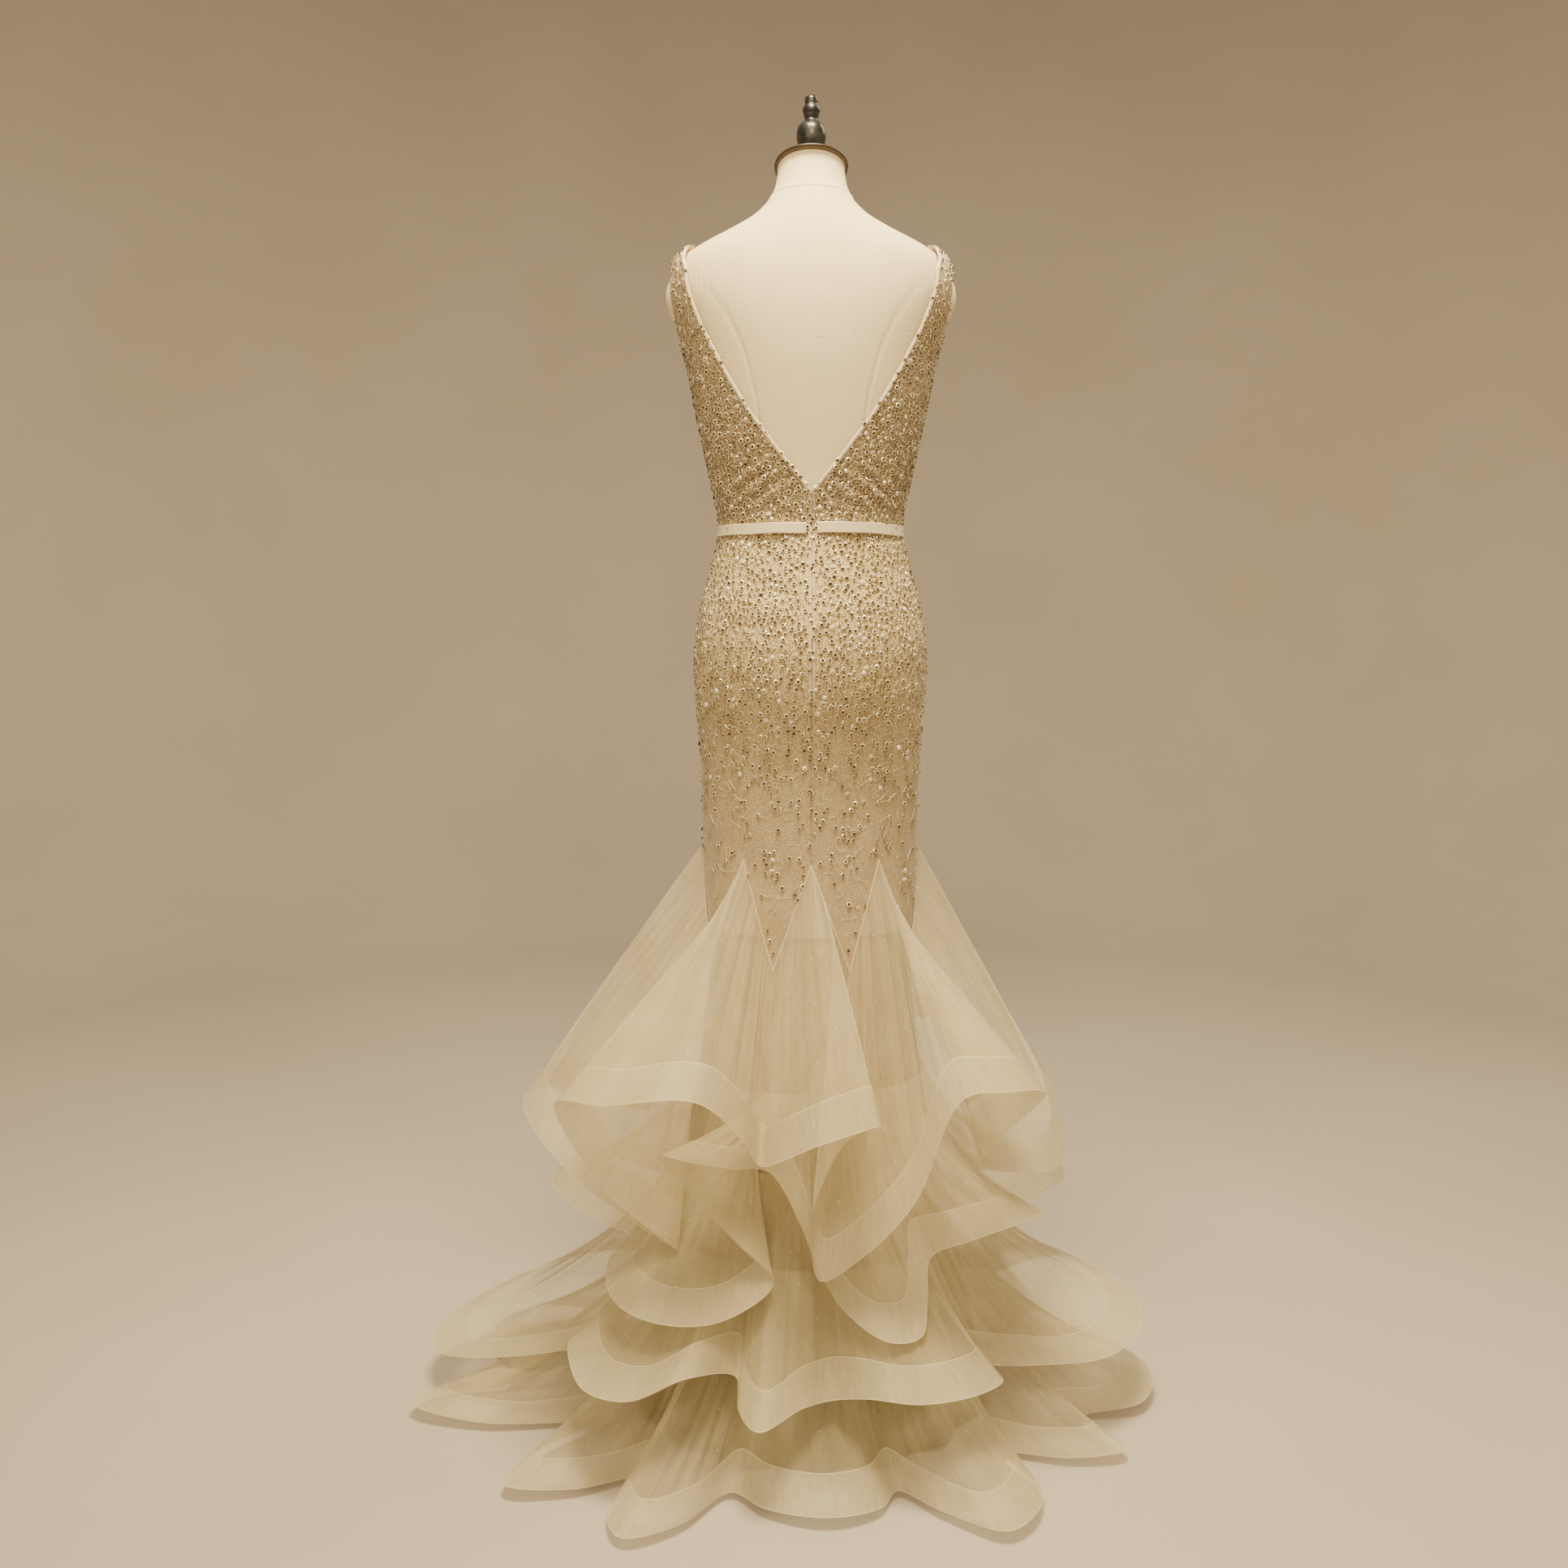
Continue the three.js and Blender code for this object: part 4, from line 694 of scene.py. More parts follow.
def sequin_tree():
    """Scatters rings with a bead in each over a cloth, as close as its bead_density says."""
    tree = bpy.data.node_groups.new("sewn_sequins", "GeometryNodeTree")
    face = tree.interface
    face.new_socket("Cloth", in_out="INPUT", socket_type="NodeSocketGeometry")
    for name, value in BEADING.items():
        face.new_socket(name, in_out="INPUT", socket_type="NodeSocketFloat").default_value = value
    face.new_socket("Seed", in_out="INPUT", socket_type="NodeSocketInt").default_value = 3
    face.new_socket("Foil", in_out="INPUT", socket_type="NodeSocketMaterial")
    face.new_socket("Beads", in_out="OUTPUT", socket_type="NodeSocketGeometry")
    add = adder(tree)
    given = add("NodeGroupInput").outputs

    density = add("GeometryNodeInputNamedAttribute", {"Name": "bead_density"}, data_type="FLOAT")
    scatter = add(
        "GeometryNodeDistributePointsOnFaces",
        {"Mesh": given["Cloth"], "Distance Min": given["Pitch"], "Seed": given["Seed"],
         "Density Max": given["Most per square metre"], "Density Factor": density.outputs["Attribute"]},
        distribute_method="POISSON",
    )
    # A ring of foil round a cone that stands for the seed bead in its hole.
    ring_path = add("GeometryNodeCurvePrimitiveCircle", {"Resolution": 8, "Radius": given["Ring radius"]})
    section = add(
        "GeometryNodeCurvePrimitiveLine", {"Start": (-0.00065, -0.0004, 0), "End": (0.00065, 0.0004, 0)}
    )
    outlines = {"Curve": ring_path.outputs["Curve"], "Profile Curve": section.outputs["Curve"]}
    ring = add("GeometryNodeCurveToMesh", outlines)
    cone = {"Vertices": 5, "Radius Top": 0.0, "Radius Bottom": 0.00185, "Depth": 0.0015}
    bead = add("GeometryNodeMeshCone", cone, fill_type="NONE")
    heart = {"Geometry": bead.outputs["Mesh"], "Name": "heart", "Value": 1.0}
    mark = add("GeometryNodeStoreNamedAttribute", heart, data_type="FLOAT", domain="POINT")
    both = add("GeometryNodeJoinGeometry")
    tree.links.new(ring.outputs["Mesh"], both.inputs[0])
    tree.links.new(mark.outputs["Geometry"], both.inputs[0])

    # Each is turned at random and leans by up to the tilt, either way.
    reaches = {}
    for item, sign in ((0, -1), (1, 1)):
        lean = add("ShaderNodeMath", {0: given["Tilt"], 1: sign}, operation="MULTIPLY").outputs[0]
        reaches[item] = add("ShaderNodeCombineXYZ", {"X": lean, "Y": lean, "Z": sign * 3.1}).outputs[0]
    turn = add("FunctionNodeRandomValue", {**reaches, "Seed": given["Seed"]}, data_type="FLOAT_VECTOR")
    turned = {"Rotation": scatter.outputs["Rotation"], "Rotate By": turn.outputs["Value"]}
    rotate = add("FunctionNodeRotateRotation", turned, rotation_space="LOCAL")
    size = add("FunctionNodeRandomValue", {2: 0.85, 3: 1.18}, data_type="FLOAT")
    place = add(
        "GeometryNodeInstanceOnPoints",
        {"Points": scatter.outputs["Points"], "Instance": both.outputs["Geometry"],
         "Rotation": rotate.outputs["Rotation"], "Scale": size.outputs[1]},
    )
    up = add("ShaderNodeCombineXYZ", {"Z": given["Stand off"]}).outputs[0]
    lift = add("GeometryNodeTranslateInstances", {"Instances": place.outputs["Instances"], "Translation": up})
    tone = add("FunctionNodeRandomValue", {"Seed": 11}, data_type="FLOAT").outputs[1]
    toned = {"Geometry": lift.outputs["Instances"], "Name": "tone", "Value": tone}
    keep = add("GeometryNodeStoreNamedAttribute", toned, data_type="FLOAT", domain="INSTANCE")
    real = add("GeometryNodeRealizeInstances", {"Geometry": keep.outputs["Geometry"]})
    painted = {"Geometry": real.outputs["Geometry"], "Material": given["Foil"]}
    paint = add("GeometryNodeSetMaterial", painted)
    add("NodeGroupOutput", {"Beads": paint.outputs["Geometry"]})
    return tree


SEWN_SEQUINS = sequin_tree()


def grow(base, tree, name, settings):
    """Runs a node tree over a copy of a mesh and keeps the result as a plain mesh object."""
    holder = bpy.data.objects.new(name, base.copy())
    bpy.context.collection.objects.link(holder)
    modifier = holder.modifiers.new("grow", "NODES")
    modifier.node_group = tree
    sockets = {s.name: s.identifier for s in tree.interface.items_tree if s.in_out == "INPUT"}
    for key, value in settings.items():
        modifier[sockets[key]] = value
    bpy.context.view_layer.update()
    made = bpy.data.meshes.new_from_object(holder.evaluated_get(bpy.context.evaluated_depsgraph_get()))
    holder.modifiers.clear()
    holder.data = made
    return holder


def outer_face(cloth):
    """The outer face of a thickened cloth, which Solidify keeps first, as a mesh to scatter on."""
    mesh = cloth.data.copy()
    cut = bmesh.new()
    cut.from_mesh(mesh)
    inner = [f for f in cut.faces if f.index >= cloth["outer_faces"]]
    bmesh.ops.delete(cut, geom=inner, context="FACES")
    cut.to_mesh(mesh)
    cut.free()
    return mesh


for k, cloth in enumerate(PANELS):
    settings = {**BEADING, "Seed": 5 + k, "Foil": SEQUIN_FOIL}
    sequins = grow(outer_face(cloth), SEWN_SEQUINS, "sequins_on_" + cloth.name[7:], settings)
    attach(sequins, GOWN)


def couched_threads():
    """Short runs of gold thread caught down at each turn by a bead, closest above the knee."""
    rng = random.Random(41)
    half_width, bead_radius, hip_radius = 0.00019, 0.0007, 0.145
    points, faces, tones = [], [], []
    for _ in range(300):
        z = 0.64 + 0.42 * rng.random() ** 0.8
        a = rng.uniform(-178, 178)
        heading = rng.uniform(0, 2 * math.pi)
        spots = [(a, z)]
        for _ in range(rng.randint(1, 4)):
            step = rng.uniform(0.006, 0.022)
            heading += rng.choice((-1, 1)) * rng.uniform(0.6, 1.7)
            a += math.degrees(step * math.cos(heading) / hip_radius)
            z += step * math.sin(heading) * 0.8
            spots.append((a, z))
        if any(z < edge_z(a) + 0.006 or z > 1.12 or abs(a) < 2 for a, z in spots):
            continue
        azimuths, heights = zip(*spots)
        line = on_body(azimuths, heights, OUTSIDE + 0.0010)
        out = on_body(azimuths, heights, OUTSIDE + 0.0020) - line
        for k in range(len(line) - 1):
            along = line[k + 1] - line[k]
            side = np.cross(along, out[k])
            side *= half_width / max(np.linalg.norm(side), 1e-9)
            n = len(points)
            points += [line[k] - side, line[k] + side, line[k + 1] + side, line[k + 1] - side]
            points += [line[k] + out[k] * 0.35, line[k + 1] + out[k] * 0.35]
            faces += [(n, n + 4, n + 5, n + 3), (n + 4, n + 1, n + 2, n + 5)]
            tones += [0.45 + 0.3 * rng.random()] * 6
        for spot, lift in zip(line, out):
            n = len(points)
            u = np.cross(lift, [0, 0, 1.0])
            u *= bead_radius / max(np.linalg.norm(u), 1e-9)
            w = np.cross(lift / 0.001, u)
            turns = np.linspace(0, 2 * math.pi, 6, endpoint=False)
            points += [*(spot + u * math.cos(t) + w * math.sin(t) for t in turns), spot + lift * 0.8]
            faces += [(n + j, n + (j + 1) % 6, n + 6) for j in range(6)]
            tones += [0.9] * 7
    mesh = bpy.data.meshes.new("couched_gold_thread")
    mesh.from_pydata([tuple(p) for p in points], [], faces)
    layer = mesh.attributes.new("tone", "FLOAT", "POINT")
    layer.data.foreach_set("value", np.array(tones, dtype=np.float32))
    piece = bpy.data.objects.new("couched_gold_thread", mesh)
    bpy.context.collection.objects.link(piece)
    finish_piece(piece, SEQUIN_FOIL)


couched_threads()


# ------------------------------------------------------------------ bindings
# A narrow bias strip of smooth cream satin, folded over the raw neckline edge and sewn down along both
# sides. It runs from the point of the back V over the strap and across the front.
def satin(name, light, dark, rough=0.34):
    """Smooth satin: a soft sheen over very fine threads that run along the strip."""
    material, shader, add, join = nodes_of(name, {"Roughness": rough, "Sheen Weight": 0.2})
    place = add("TexCoord").outputs["UV"]
    threads = noise(add, place, (60, 4000, 1), detail=2)
    soft = noise(add, place, (30, 200, 1), detail=3)
    both = add("MixRGB", {"Fac": 0.5, "Color1": threads, "Color2": soft})
    tone = ramp(add, both.outputs[0], [(0.35, dark), (0.65, light)])
    join(tone, shader.inputs["Base Color"])
    soft_bump(add, join, shader, both.outputs[0], 0.12, 0.0004)
    return material


CREAM_SATIN = satin("cream_binding_satin", (0.80, 0.69, 0.51), (0.66, 0.54, 0.37))
BINDING_WIDTH = 0.005


def strip_uv(grid):
    along = np.concatenate([[0], np.cumsum(np.linalg.norm(np.diff(grid[:, 0], axis=0), axis=-1))])
    across = np.concatenate([[0], np.cumsum(np.linalg.norm(np.diff(grid[0], axis=0), axis=-1))])
    return np.stack(np.meshgrid(along, across, indexing="ij"), -1)


def binding_path(table, foot):
    """Azimuth and height along a neckline edge, and of the side edge that the strip's width points to."""
    rows = along_rows(table, EDGE_STEPS)
    rows = rows[rows[:, 0] >= table[foot][0] - 0.5]
    return np.stack([rows[:, 1], rows[:, 0] / 1000, rows[:, 3], rows[:, 2] / 1000], -1)


def neck_binding(mirror, word):
    path = np.concatenate([binding_path(BACK_EDGE, 1), binding_path(FRONT_EDGE, 5)[::-1]])
    edge_a, edge_height, side_a, side_height = path.T
    to_side = on_body(edge_a, edge_height, OUTSIDE) - on_body(side_a, side_height, OUTSIDE)
    width = np.linalg.norm(to_side, axis=-1)
    across = np.linspace(-0.0008, BINDING_WIDTH, 7)
    share = across[None, :] / np.maximum(width, 0.004)[:, None]
    a = edge_a[:, None] + (side_a - edge_a)[:, None] * share
    z = edge_height[:, None] + (side_height - edge_height)[:, None] * share
    roll = np.sin(np.linspace(0, math.pi, 7)) ** 0.6
    pucker = 0.00015 * np.sin(np.arange(len(path)) * 1.9)[:, None]
    grid = on_body(a * mirror, z, OUTSIDE - 0.0003 + 0.0022 * roll + pucker * roll)
    piece = grid_piece(f"bias_binding_{word}", grid, flip=mirror < 0, uv=strip_uv(grid))
    finish_piece(piece, CREAM_SATIN, replaces=[f"neck_binding_{word}"])


for mirror, word in ((1, "right"), (-1, "left")):
    neck_binding(mirror, word)

# ------------------------------------------------------------------ belt
# A flat ribbon of cream satin, doubled and pressed, laid round the waist with its two ends on either
# side of the zip. It stands a little off the back.
BELT_SATIN = satin("cream_belt_satin", (0.82, 0.72, 0.53), (0.70, 0.58, 0.40), 0.3)


def belt():
    a = np.linspace(3.3, 356.7, 360)
    turned = np.abs((a + 180) % 360 - 180)
    out = OUTSIDE + 0.0017 + 0.0035 * np.exp(-(((turned - 24) / 15) ** 2))
    across = np.array([0.0075, 0.0073, 0.006, 0.002, -0.002, -0.006, -0.0073, -0.0075])
    face = np.array([0.0004, 0.0009, 0.001, 0.001, 0.001, 0.001, 0.0009, 0.0004])
    sag = 0.0006 * np.sin(np.radians(a * 3)) + 0.0003 * np.sin(np.radians(a * 11))
    level = 1.18 + across[:, None] + sag[None, :]
    front = on_body(a[None, :] + 0 * level, level, out[None, :] + face[:, None])
    back = on_body(a[None, :] + 0 * level, level, out[None, :] + 0 * level)
    skin = np.concatenate([front, back[::-1], front[:1]])
    piece = grid_piece("satin_belt", skin, uv=cloth_uv(skin))
    tidy_closed(piece)
    finish_piece(piece, BELT_SATIN, replaces=["belt_ribbon"])


belt()

# ------------------------------------------------------------------ zip
# An invisible zip let into the centre back. Its two folded tape edges meet over the teeth, so that only
# a dark slit shows. The slider stands at the waist, and a hook closes the top.
ZIP_TAPE = satin("zip_tape_satin", (0.74, 0.61, 0.42), (0.60, 0.47, 0.31), 0.45)


def zip_tape(side, word):
    z = np.linspace(1.227, 0.962, 120)
    across = np.array([0.00022, 0.00028, 0.0006, 0.0012, 0.0022, 0.0032, 0.0040, 0.0042])
    rise = np.array([-0.0012, 0.0001, 0.0010, 0.0012, 0.0009, 0.0007, 0.0004, -0.0004])
    level, x = np.meshgrid(z, across, indexing="ij")
    x = x + 0.00018 * np.sin(level * 2 * math.pi / 0.031)
    half = smoothly(level, 1)
    grid = on_body(side * np.degrees(np.arcsin(x / half)), level, OUTSIDE + 0.0002 + rise[None, :])
    piece = grid_piece(f"zip_tape_{word}", grid, flip=side < 0, uv=strip_uv(grid))
    finish_piece(piece, ZIP_TAPE, replaces=[f"zip_edge_{word}"])


for side, word in ((1, "right"), (-1, "left")):
    zip_tape(side, word)


def zip_teeth():
    """The coil of teeth behind the slit, a row of small dark bars."""
    material, shader, add, join = nodes_of("zip_coil_nylon", {"Roughness": 0.5})
    place = add("TexCoord").outputs["Object"]
    bars = add("TexWave", {"Vector": place, "Scale": 180.0}, bands_direction="Z")
    tone = ramp(add, bars.outputs["Fac"], [(0.3, (0.035, 0.022, 0.014)), (0.8, (0.11, 0.075, 0.045))])
    join(tone, shader.inputs["Base Color"])
    z = np.linspace(1.2265, 0.963, 90)
    level, x = np.meshgrid(z, [-0.0014, 0, 0.0014], indexing="ij")
    grid = on_body(np.degrees(np.arcsin(x / smoothly(level, 1))), level, EASE + 0.0004 + 0 * x)
    piece = grid_piece("zip_coil", grid, flip=True)
    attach(piece, GOWN)
    piece.data.materials.append(material)


zip_teeth()


def zip_metal(name, low, high, rough):
    material, shader, add, join = nodes_of(name, {"Metallic": 0.85, "Roughness": rough})
    place = add("TexCoord").outputs["Object"]
    wear = noise(add, place, scale=700, detail=3)
    tone = ramp(add, wear, [(0.35, low), (0.7, high)])
    join(tone, shader.inputs["Base Color"])
    return material


ZIP_PAINT = zip_metal("zip_slider_bronze", (0.50, 0.39, 0.24), (0.66, 0.54, 0.36), 0.4)
HOOK_WIRE = zip_metal("hook_bright_wire", (0.62, 0.56, 0.47), (0.78, 0.72, 0.62), 0.3)
for solid, metal in (("zip_slider", ZIP_PAINT), ("zip_pull_tab", ZIP_PAINT), ("top_hook", HOOK_WIRE)):
    repaint(solid, metal)

# ------------------------------------------------------------------ underskirt
# A gathered slip of soft opaque tulle that holds the flounces. Each is sewn to it by its upper edge.
def soft_tulle(name, light, dark):
    material, shader, add, join = nodes_of(name, {"Roughness": 0.85, "Sheen Weight": 0.3})
    place = add("TexCoord").outputs["Object"]
    streak = noise(add, place, (90, 90, 12), detail=4)
    tone = ramp(add, streak, [(0.35, dark), (0.65, light)])
    # Painted shade: the slip darkens towards the floor, standing in for the shadowed hollow inside the
    # flounces.
    height = add("SeparateXYZ", {"Vector": place})
    low = ramp(add, height.outputs["Z"], [(0.17, (0.30, 0.30, 0.28)), (0.36, (1, 1, 1))])
    shaded = add("MixRGB", {"Fac": 1.0, "Color1": tone, "Color2": low}, blend_type="MULTIPLY")
    join(shaded.outputs[0], shader.inputs["Base Color"])
    soft_bump(add, join, shader, streak, 0.3, 0.002)
    return material


# One row a height: how far the folds' crests stand off the section, and how deep the folds are.
UNDERSKIRT = np.array(
    [(740, -1.3, 0), (658, -1.3, 0), (560, -3, 2), (460, 0, 4),
     (360, 0, 6), (245, 0, 8), (140, 0, 10), (8, 0, 14)]
) / 1000


def underskirt():
    heights = np.linspace(0.740, 0.008, 90)
    azimuth = np.linspace(0, 360, 256, endpoint=False)
    z, a = np.meshgrid(heights, azimuth, indexing="ij")
    out = np.interp(-z, -UNDERSKIRT[:, 0], UNDERSKIRT[:, 1])
    fold = np.interp(-z, -UNDERSKIRT[:, 0], UNDERSKIRT[:, 2])
    folds = 0.5 - 0.5 * np.cos(np.radians(16 * a + 20 * np.sin(np.radians(3 * a))))
    grid = on_body(a, z, out - 0.0016 - fold * folds)
    piece = grid_piece("tulle_slip", grid, closed=True, uv=cloth_uv(grid))
    slip_tulle = soft_tulle("slip_soft_tulle", (0.52, 0.41, 0.22), (0.30, 0.225, 0.11))
    finish_piece(piece, slip_tulle, replaces=["tulle_underskirt"])


underskirt()

# ------------------------------------------------------------------ flounces
# Sheer tulle cut in flared pieces. The top flounce is godets, let into the notches of the skirt, and
# three more hang from the slip below it. Their hems stand out and roll in deep flutes.
FLOUNCES = [
    {"name": "godet", "node": "godet", "seam_z": 0, "mid_out": 0.5, "mid_down": 0.46,
     "cuts": [45, 4, 10, 16, 22, 29, 35, 40],
     "braids": ["a", "", "b", "", "c", "", "d", ""],
     "rows": [
        (-150, -150, 285, 430), (-140, -141, 320, 465), (-128, -128, 330, 455), (-120, -117, 300, 400),
        (-112, -112, 248, 365), (-104, -106, 320, 380), (-96, -98, 370, 410), (-86, -85, 388, 420),
        (-78, -72, 372, 400), (-71, -60, 330, 350), (-64, -41, 255, 280), (-58, -51, 325, 357),
        (-52, -57, 378, 470), (-44, -41, 372, 495), (-33, -24, 337, 508), (-26, -18, 288, 455),
        (-20, -16, 236, 402), (-12, -8, 278, 425), (-3, 1, 312, 458), (5, 15, 300, 474),
        (10, 9, 250, 440), (15, 0, 238, 345), (20, 2, 240, 262), (28, 14, 262, 300), (36, 25, 292, 372),
        (43, 33, 325, 500), (49, 41, 347, 505), (55, 55, 350, 482), (59, 53, 296, 420),
        (64, 54, 268, 375), (72, 63, 322, 362), (80, 78, 345, 350), (90, 92, 350, 372),
        (98, 104, 345, 420), (105, 108, 285, 400), (112, 112, 246, 370), (120, 118, 305, 400),
        (128, 128, 330, 450), (138, 140, 320, 460), (148, 150, 285, 440), (158, 156, 226, 375),
        (166, 164, 272, 420), (174, 174, 300, 465), (184, 186, 300, 465), (194, 198, 272, 420),
        (202, 206, 226, 375),
     ]},
    {"name": "second", "node": "flounce_2", "seam_z": 0.46, "mid_out": 0.2, "mid_down": 0.62,
     "cuts": [0, 9, 28, 38],
     "braids": ["a", "b", "c", "d"],
     "rows": [
        (-160, -160, 228, 258), (-150, -150, 300, 300), (-138, -138, 318, 306), (-126, -127, 290, 290),
        (-118, -119, 234, 262), (-108, -110, 300, 285), (-97, -98, 345, 300), (-86, -86, 352, 296),
        (-77, -76, 300, 270), (-70, -68, 242, 248), (-62, -62, 290, 250), (-55, -53, 322, 232),
        (-47, -43, 332, 222), (-41, -33, 312, 214), (-36, -23, 272, 216), (-31, -12, 228, 250),
        (-27, -22, 246, 305), (-23, -33, 282, 375), (-20, -37, 308, 420), (-16, -30, 300, 418),
        (-12, -23, 258, 402), (-8, -15, 202, 380), (-3, -5, 208, 325), (2, 2, 216, 264),
        (8, 9, 236, 222), (14, 19, 282, 196), (20, 28, 284, 196), (25, 33, 262, 230), (30, 38, 242, 268),
        (38, 43, 290, 300), (46, 52, 330, 318), (54, 63, 335, 310), (61, 70, 275, 280),
        (67, 74, 264, 272), (76, 80, 300, 285), (86, 90, 355, 300), (97, 101, 350, 296),
        (106, 110, 285, 270), (113, 116, 258, 266), (122, 125, 300, 285), (134, 137, 322, 300),
        (146, 149, 300, 290), (155, 158, 228, 255), (166, 168, 290, 290), (180, 180, 312, 302),
        (192, 192, 290, 290),
     ]},
    {"name": "third", "node": "flounce_3", "seam_z": 0.36, "mid_out": 0.2, "mid_down": 0.6,
     "cuts": [0, 10, 26],
     "braids": ["a", "b", "c"],
     "rows": [
        (-165, -166, 262, 130), (-156, -157, 330, 165), (-146, -146, 352, 172), (-136, -135, 320, 150),
        (-127, -126, 262, 120), (-118, -118, 340, 120), (-108, -107, 450, 95), (-97, -96, 530, 62),
        (-87, -87, 515, 58), (-79, -77, 400, 85), (-72, -68, 290, 118), (-65, -63, 330, 150),
        (-57, -56, 368, 158), (-48, -46, 388, 138), (-40, -36, 372, 140), (-33, -27, 330, 165),
        (-27, -21, 262, 140), (-20, -17, 300, 120), (-12, -11, 336, 118), (-3, -3, 290, 124),
        (5, 5, 264, 120), (12, 13, 296, 136), (20, 22, 336, 142), (28, 33, 350, 142), (36, 42, 345, 140),
        (43, 48, 300, 130), (50, 54, 286, 114), (58, 61, 330, 110), (68, 70, 410, 110),
        (79, 81, 452, 118), (89, 92, 450, 128), (98, 102, 380, 150), (105, 108, 275, 120),
        (115, 117, 360, 140), (126, 128, 400, 150), (137, 139, 350, 140), (145, 148, 262, 122),
        (156, 158, 330, 160), (168, 170, 345, 170), (182, 183, 315, 155),
     ]},
    {"name": "floor", "node": "flounce_4", "seam_z": 0.245, "mid_out": 0.2, "mid_down": 0.6,
     "cuts": [0, 13, 30],
     "braids": ["a", "b", "c"],
     "rows": [
        (-166, -166, 290, 9), (-157, -157, 345, 22), (-146, -146, 365, 34), (-136, -136, 350, 20),
        (-126, -127, 296, 9), (-118, -119, 380, 16), (-110, -110, 440, 36), (-101, -101, 470, 30),
        (-94, -92, 420, 12), (-89, -86, 425, 9), (-84, -85, 515, 14), (-79, -80, 542, 20),
        (-74, -74, 455, 12), (-68, -67, 318, 9), (-61, -61, 400, 14), (-53, -54, 465, 18),
        (-47, -47, 400, 12), (-42, -42, 330, 9), (-37, -37, 405, 14), (-30, -31, 432, 14),
        (-24, -25, 380, 12), (-19, -20, 292, 9), (-11, -10, 318, 12), (-1, 3, 336, 16), (9, 14, 322, 12),
        (17, 21, 290, 9), (24, 26, 352, 12), (31, 32, 425, 16), (38, 39, 420, 18), (45, 46, 385, 14),
        (51, 52, 312, 9), (59, 58, 390, 12), (66, 64, 445, 16), (72, 70, 400, 10), (77, 74, 380, 9),
        (82, 79, 455, 18), (90, 88, 476, 24), (98, 97, 440, 30), (105, 106, 360, 14), (112, 111, 300, 9),
        (122, 121, 400, 24), (133, 133, 425, 38), (143, 144, 360, 20), (150, 150, 288, 9),
        (160, 159, 340, 20), (172, 172, 352, 30), (184, 184, 335, 20),
     ]},
]
SHEER = 0.0012
LIFT = 0.0004


def closed_curve(points, per_span):
    """A smooth closed curve through points, with the same number of steps in each span."""
    before, here = np.roll(points, 1, 0), points
    after, beyond = np.roll(points, -1, 0), np.roll(points, -2, 0)
    steps = (here - before, after - here, beyond - after)
    d0, d1, d2 = (np.sqrt(np.maximum(np.linalg.norm(step, axis=-1), 1e-6))[:, None] for step in steps)
    leave = ((here - before) / d0 - (after - before) / (d0 + d1) + (after - here) / d1) * d1
    arrive = ((after - here) / d1 - (beyond - here) / (d1 + d2) + (beyond - after) / d2) * d1
    t = np.arange(per_span)[None, :, None] / per_span
    h, a, m0, m1 = here[:, None], after[:, None], leave[:, None], arrive[:, None]
    from_here = (2 * t**3 - 3 * t**2 + 1) * h + (t**3 - 2 * t**2 + t) * m0
    to_after = (3 * t**2 - 2 * t**3) * a + (t**3 - t**2) * m1
    return (from_here + to_after).reshape(-1, points.shape[1])


PER_SPAN = 10


def flounce_grid(flounce, shares):
    """Points of a whole flounce, rows from seam to hem by columns round the body."""
    rows = np.array(flounce["rows"], float)
    a = np.radians(rows[:, 1])
    reach = rows[:, 2] / 1000
    low = closed_curve(np.stack([reach * np.sin(a), -reach * np.cos(a), rows[:, 3] / 1000], -1), PER_SPAN)
    start = rows[:, 0]
    finish = np.append(start[1:], start[0] + 360)
    within = np.arange(PER_SPAN)[None, :] / PER_SPAN
    seam = (start[:, None] + (finish - start)[:, None] * within).reshape(-1)
    seam_z = flounce["seam_z"] if flounce["seam_z"] else edge_z(seam) + 0.003
    out = 2 * LIFT if flounce["seam_z"] else OUTSIDE + 2 * LIFT
    top = on_body(seam, seam_z, out + SHEER / 2)
    mid = np.stack([top[:, 0] + (low[:, 0] - top[:, 0]) * flounce["mid_out"],
                    top[:, 1] + (low[:, 1] - top[:, 1]) * flounce["mid_out"],
                    top[:, 2] + (low[:, 2] - top[:, 2]) * flounce["mid_down"]], -1)
    v = np.asarray(shares)[:, None, None]
    grid = (1 - v) ** 2 * top + 2 * v * (1 - v) * mid + v**2 * low
    # Soft creases run down from the seam and die out before the hem.
    along = np.linalg.norm(np.roll(grid, -1, 1) - np.roll(grid, 1, 1), axis=-1)
    turn = np.cumsum(along[-1])
    wide_creases = np.sin(turn * 2 * math.pi / 0.055 + 2.1 * np.sin(turn * 9))
    crease = wide_creases * 0.6 + np.sin(turn * 2 * math.pi / 0.021) * 0.3
    ebb = np.sin(np.clip(np.asarray(shares), 0, 1) * math.pi) ** 1.2
    return grid, crease[None, :] * ebb[:, None]


def outward(grid):
    """Unit normals of a grid closed round the body, pointing away from it."""
    around = np.roll(grid, -1, 1) - np.roll(grid, 1, 1)
    down = np.empty_like(grid)
    down[1:-1] = grid[2:] - grid[:-2]
    down[0], down[-1] = grid[1] - grid[0], grid[-1] - grid[-2]
    normal = np.cross(around, -down)
    return normal / np.maximum(np.linalg.norm(normal, axis=-1, keepdims=True), 1e-9)


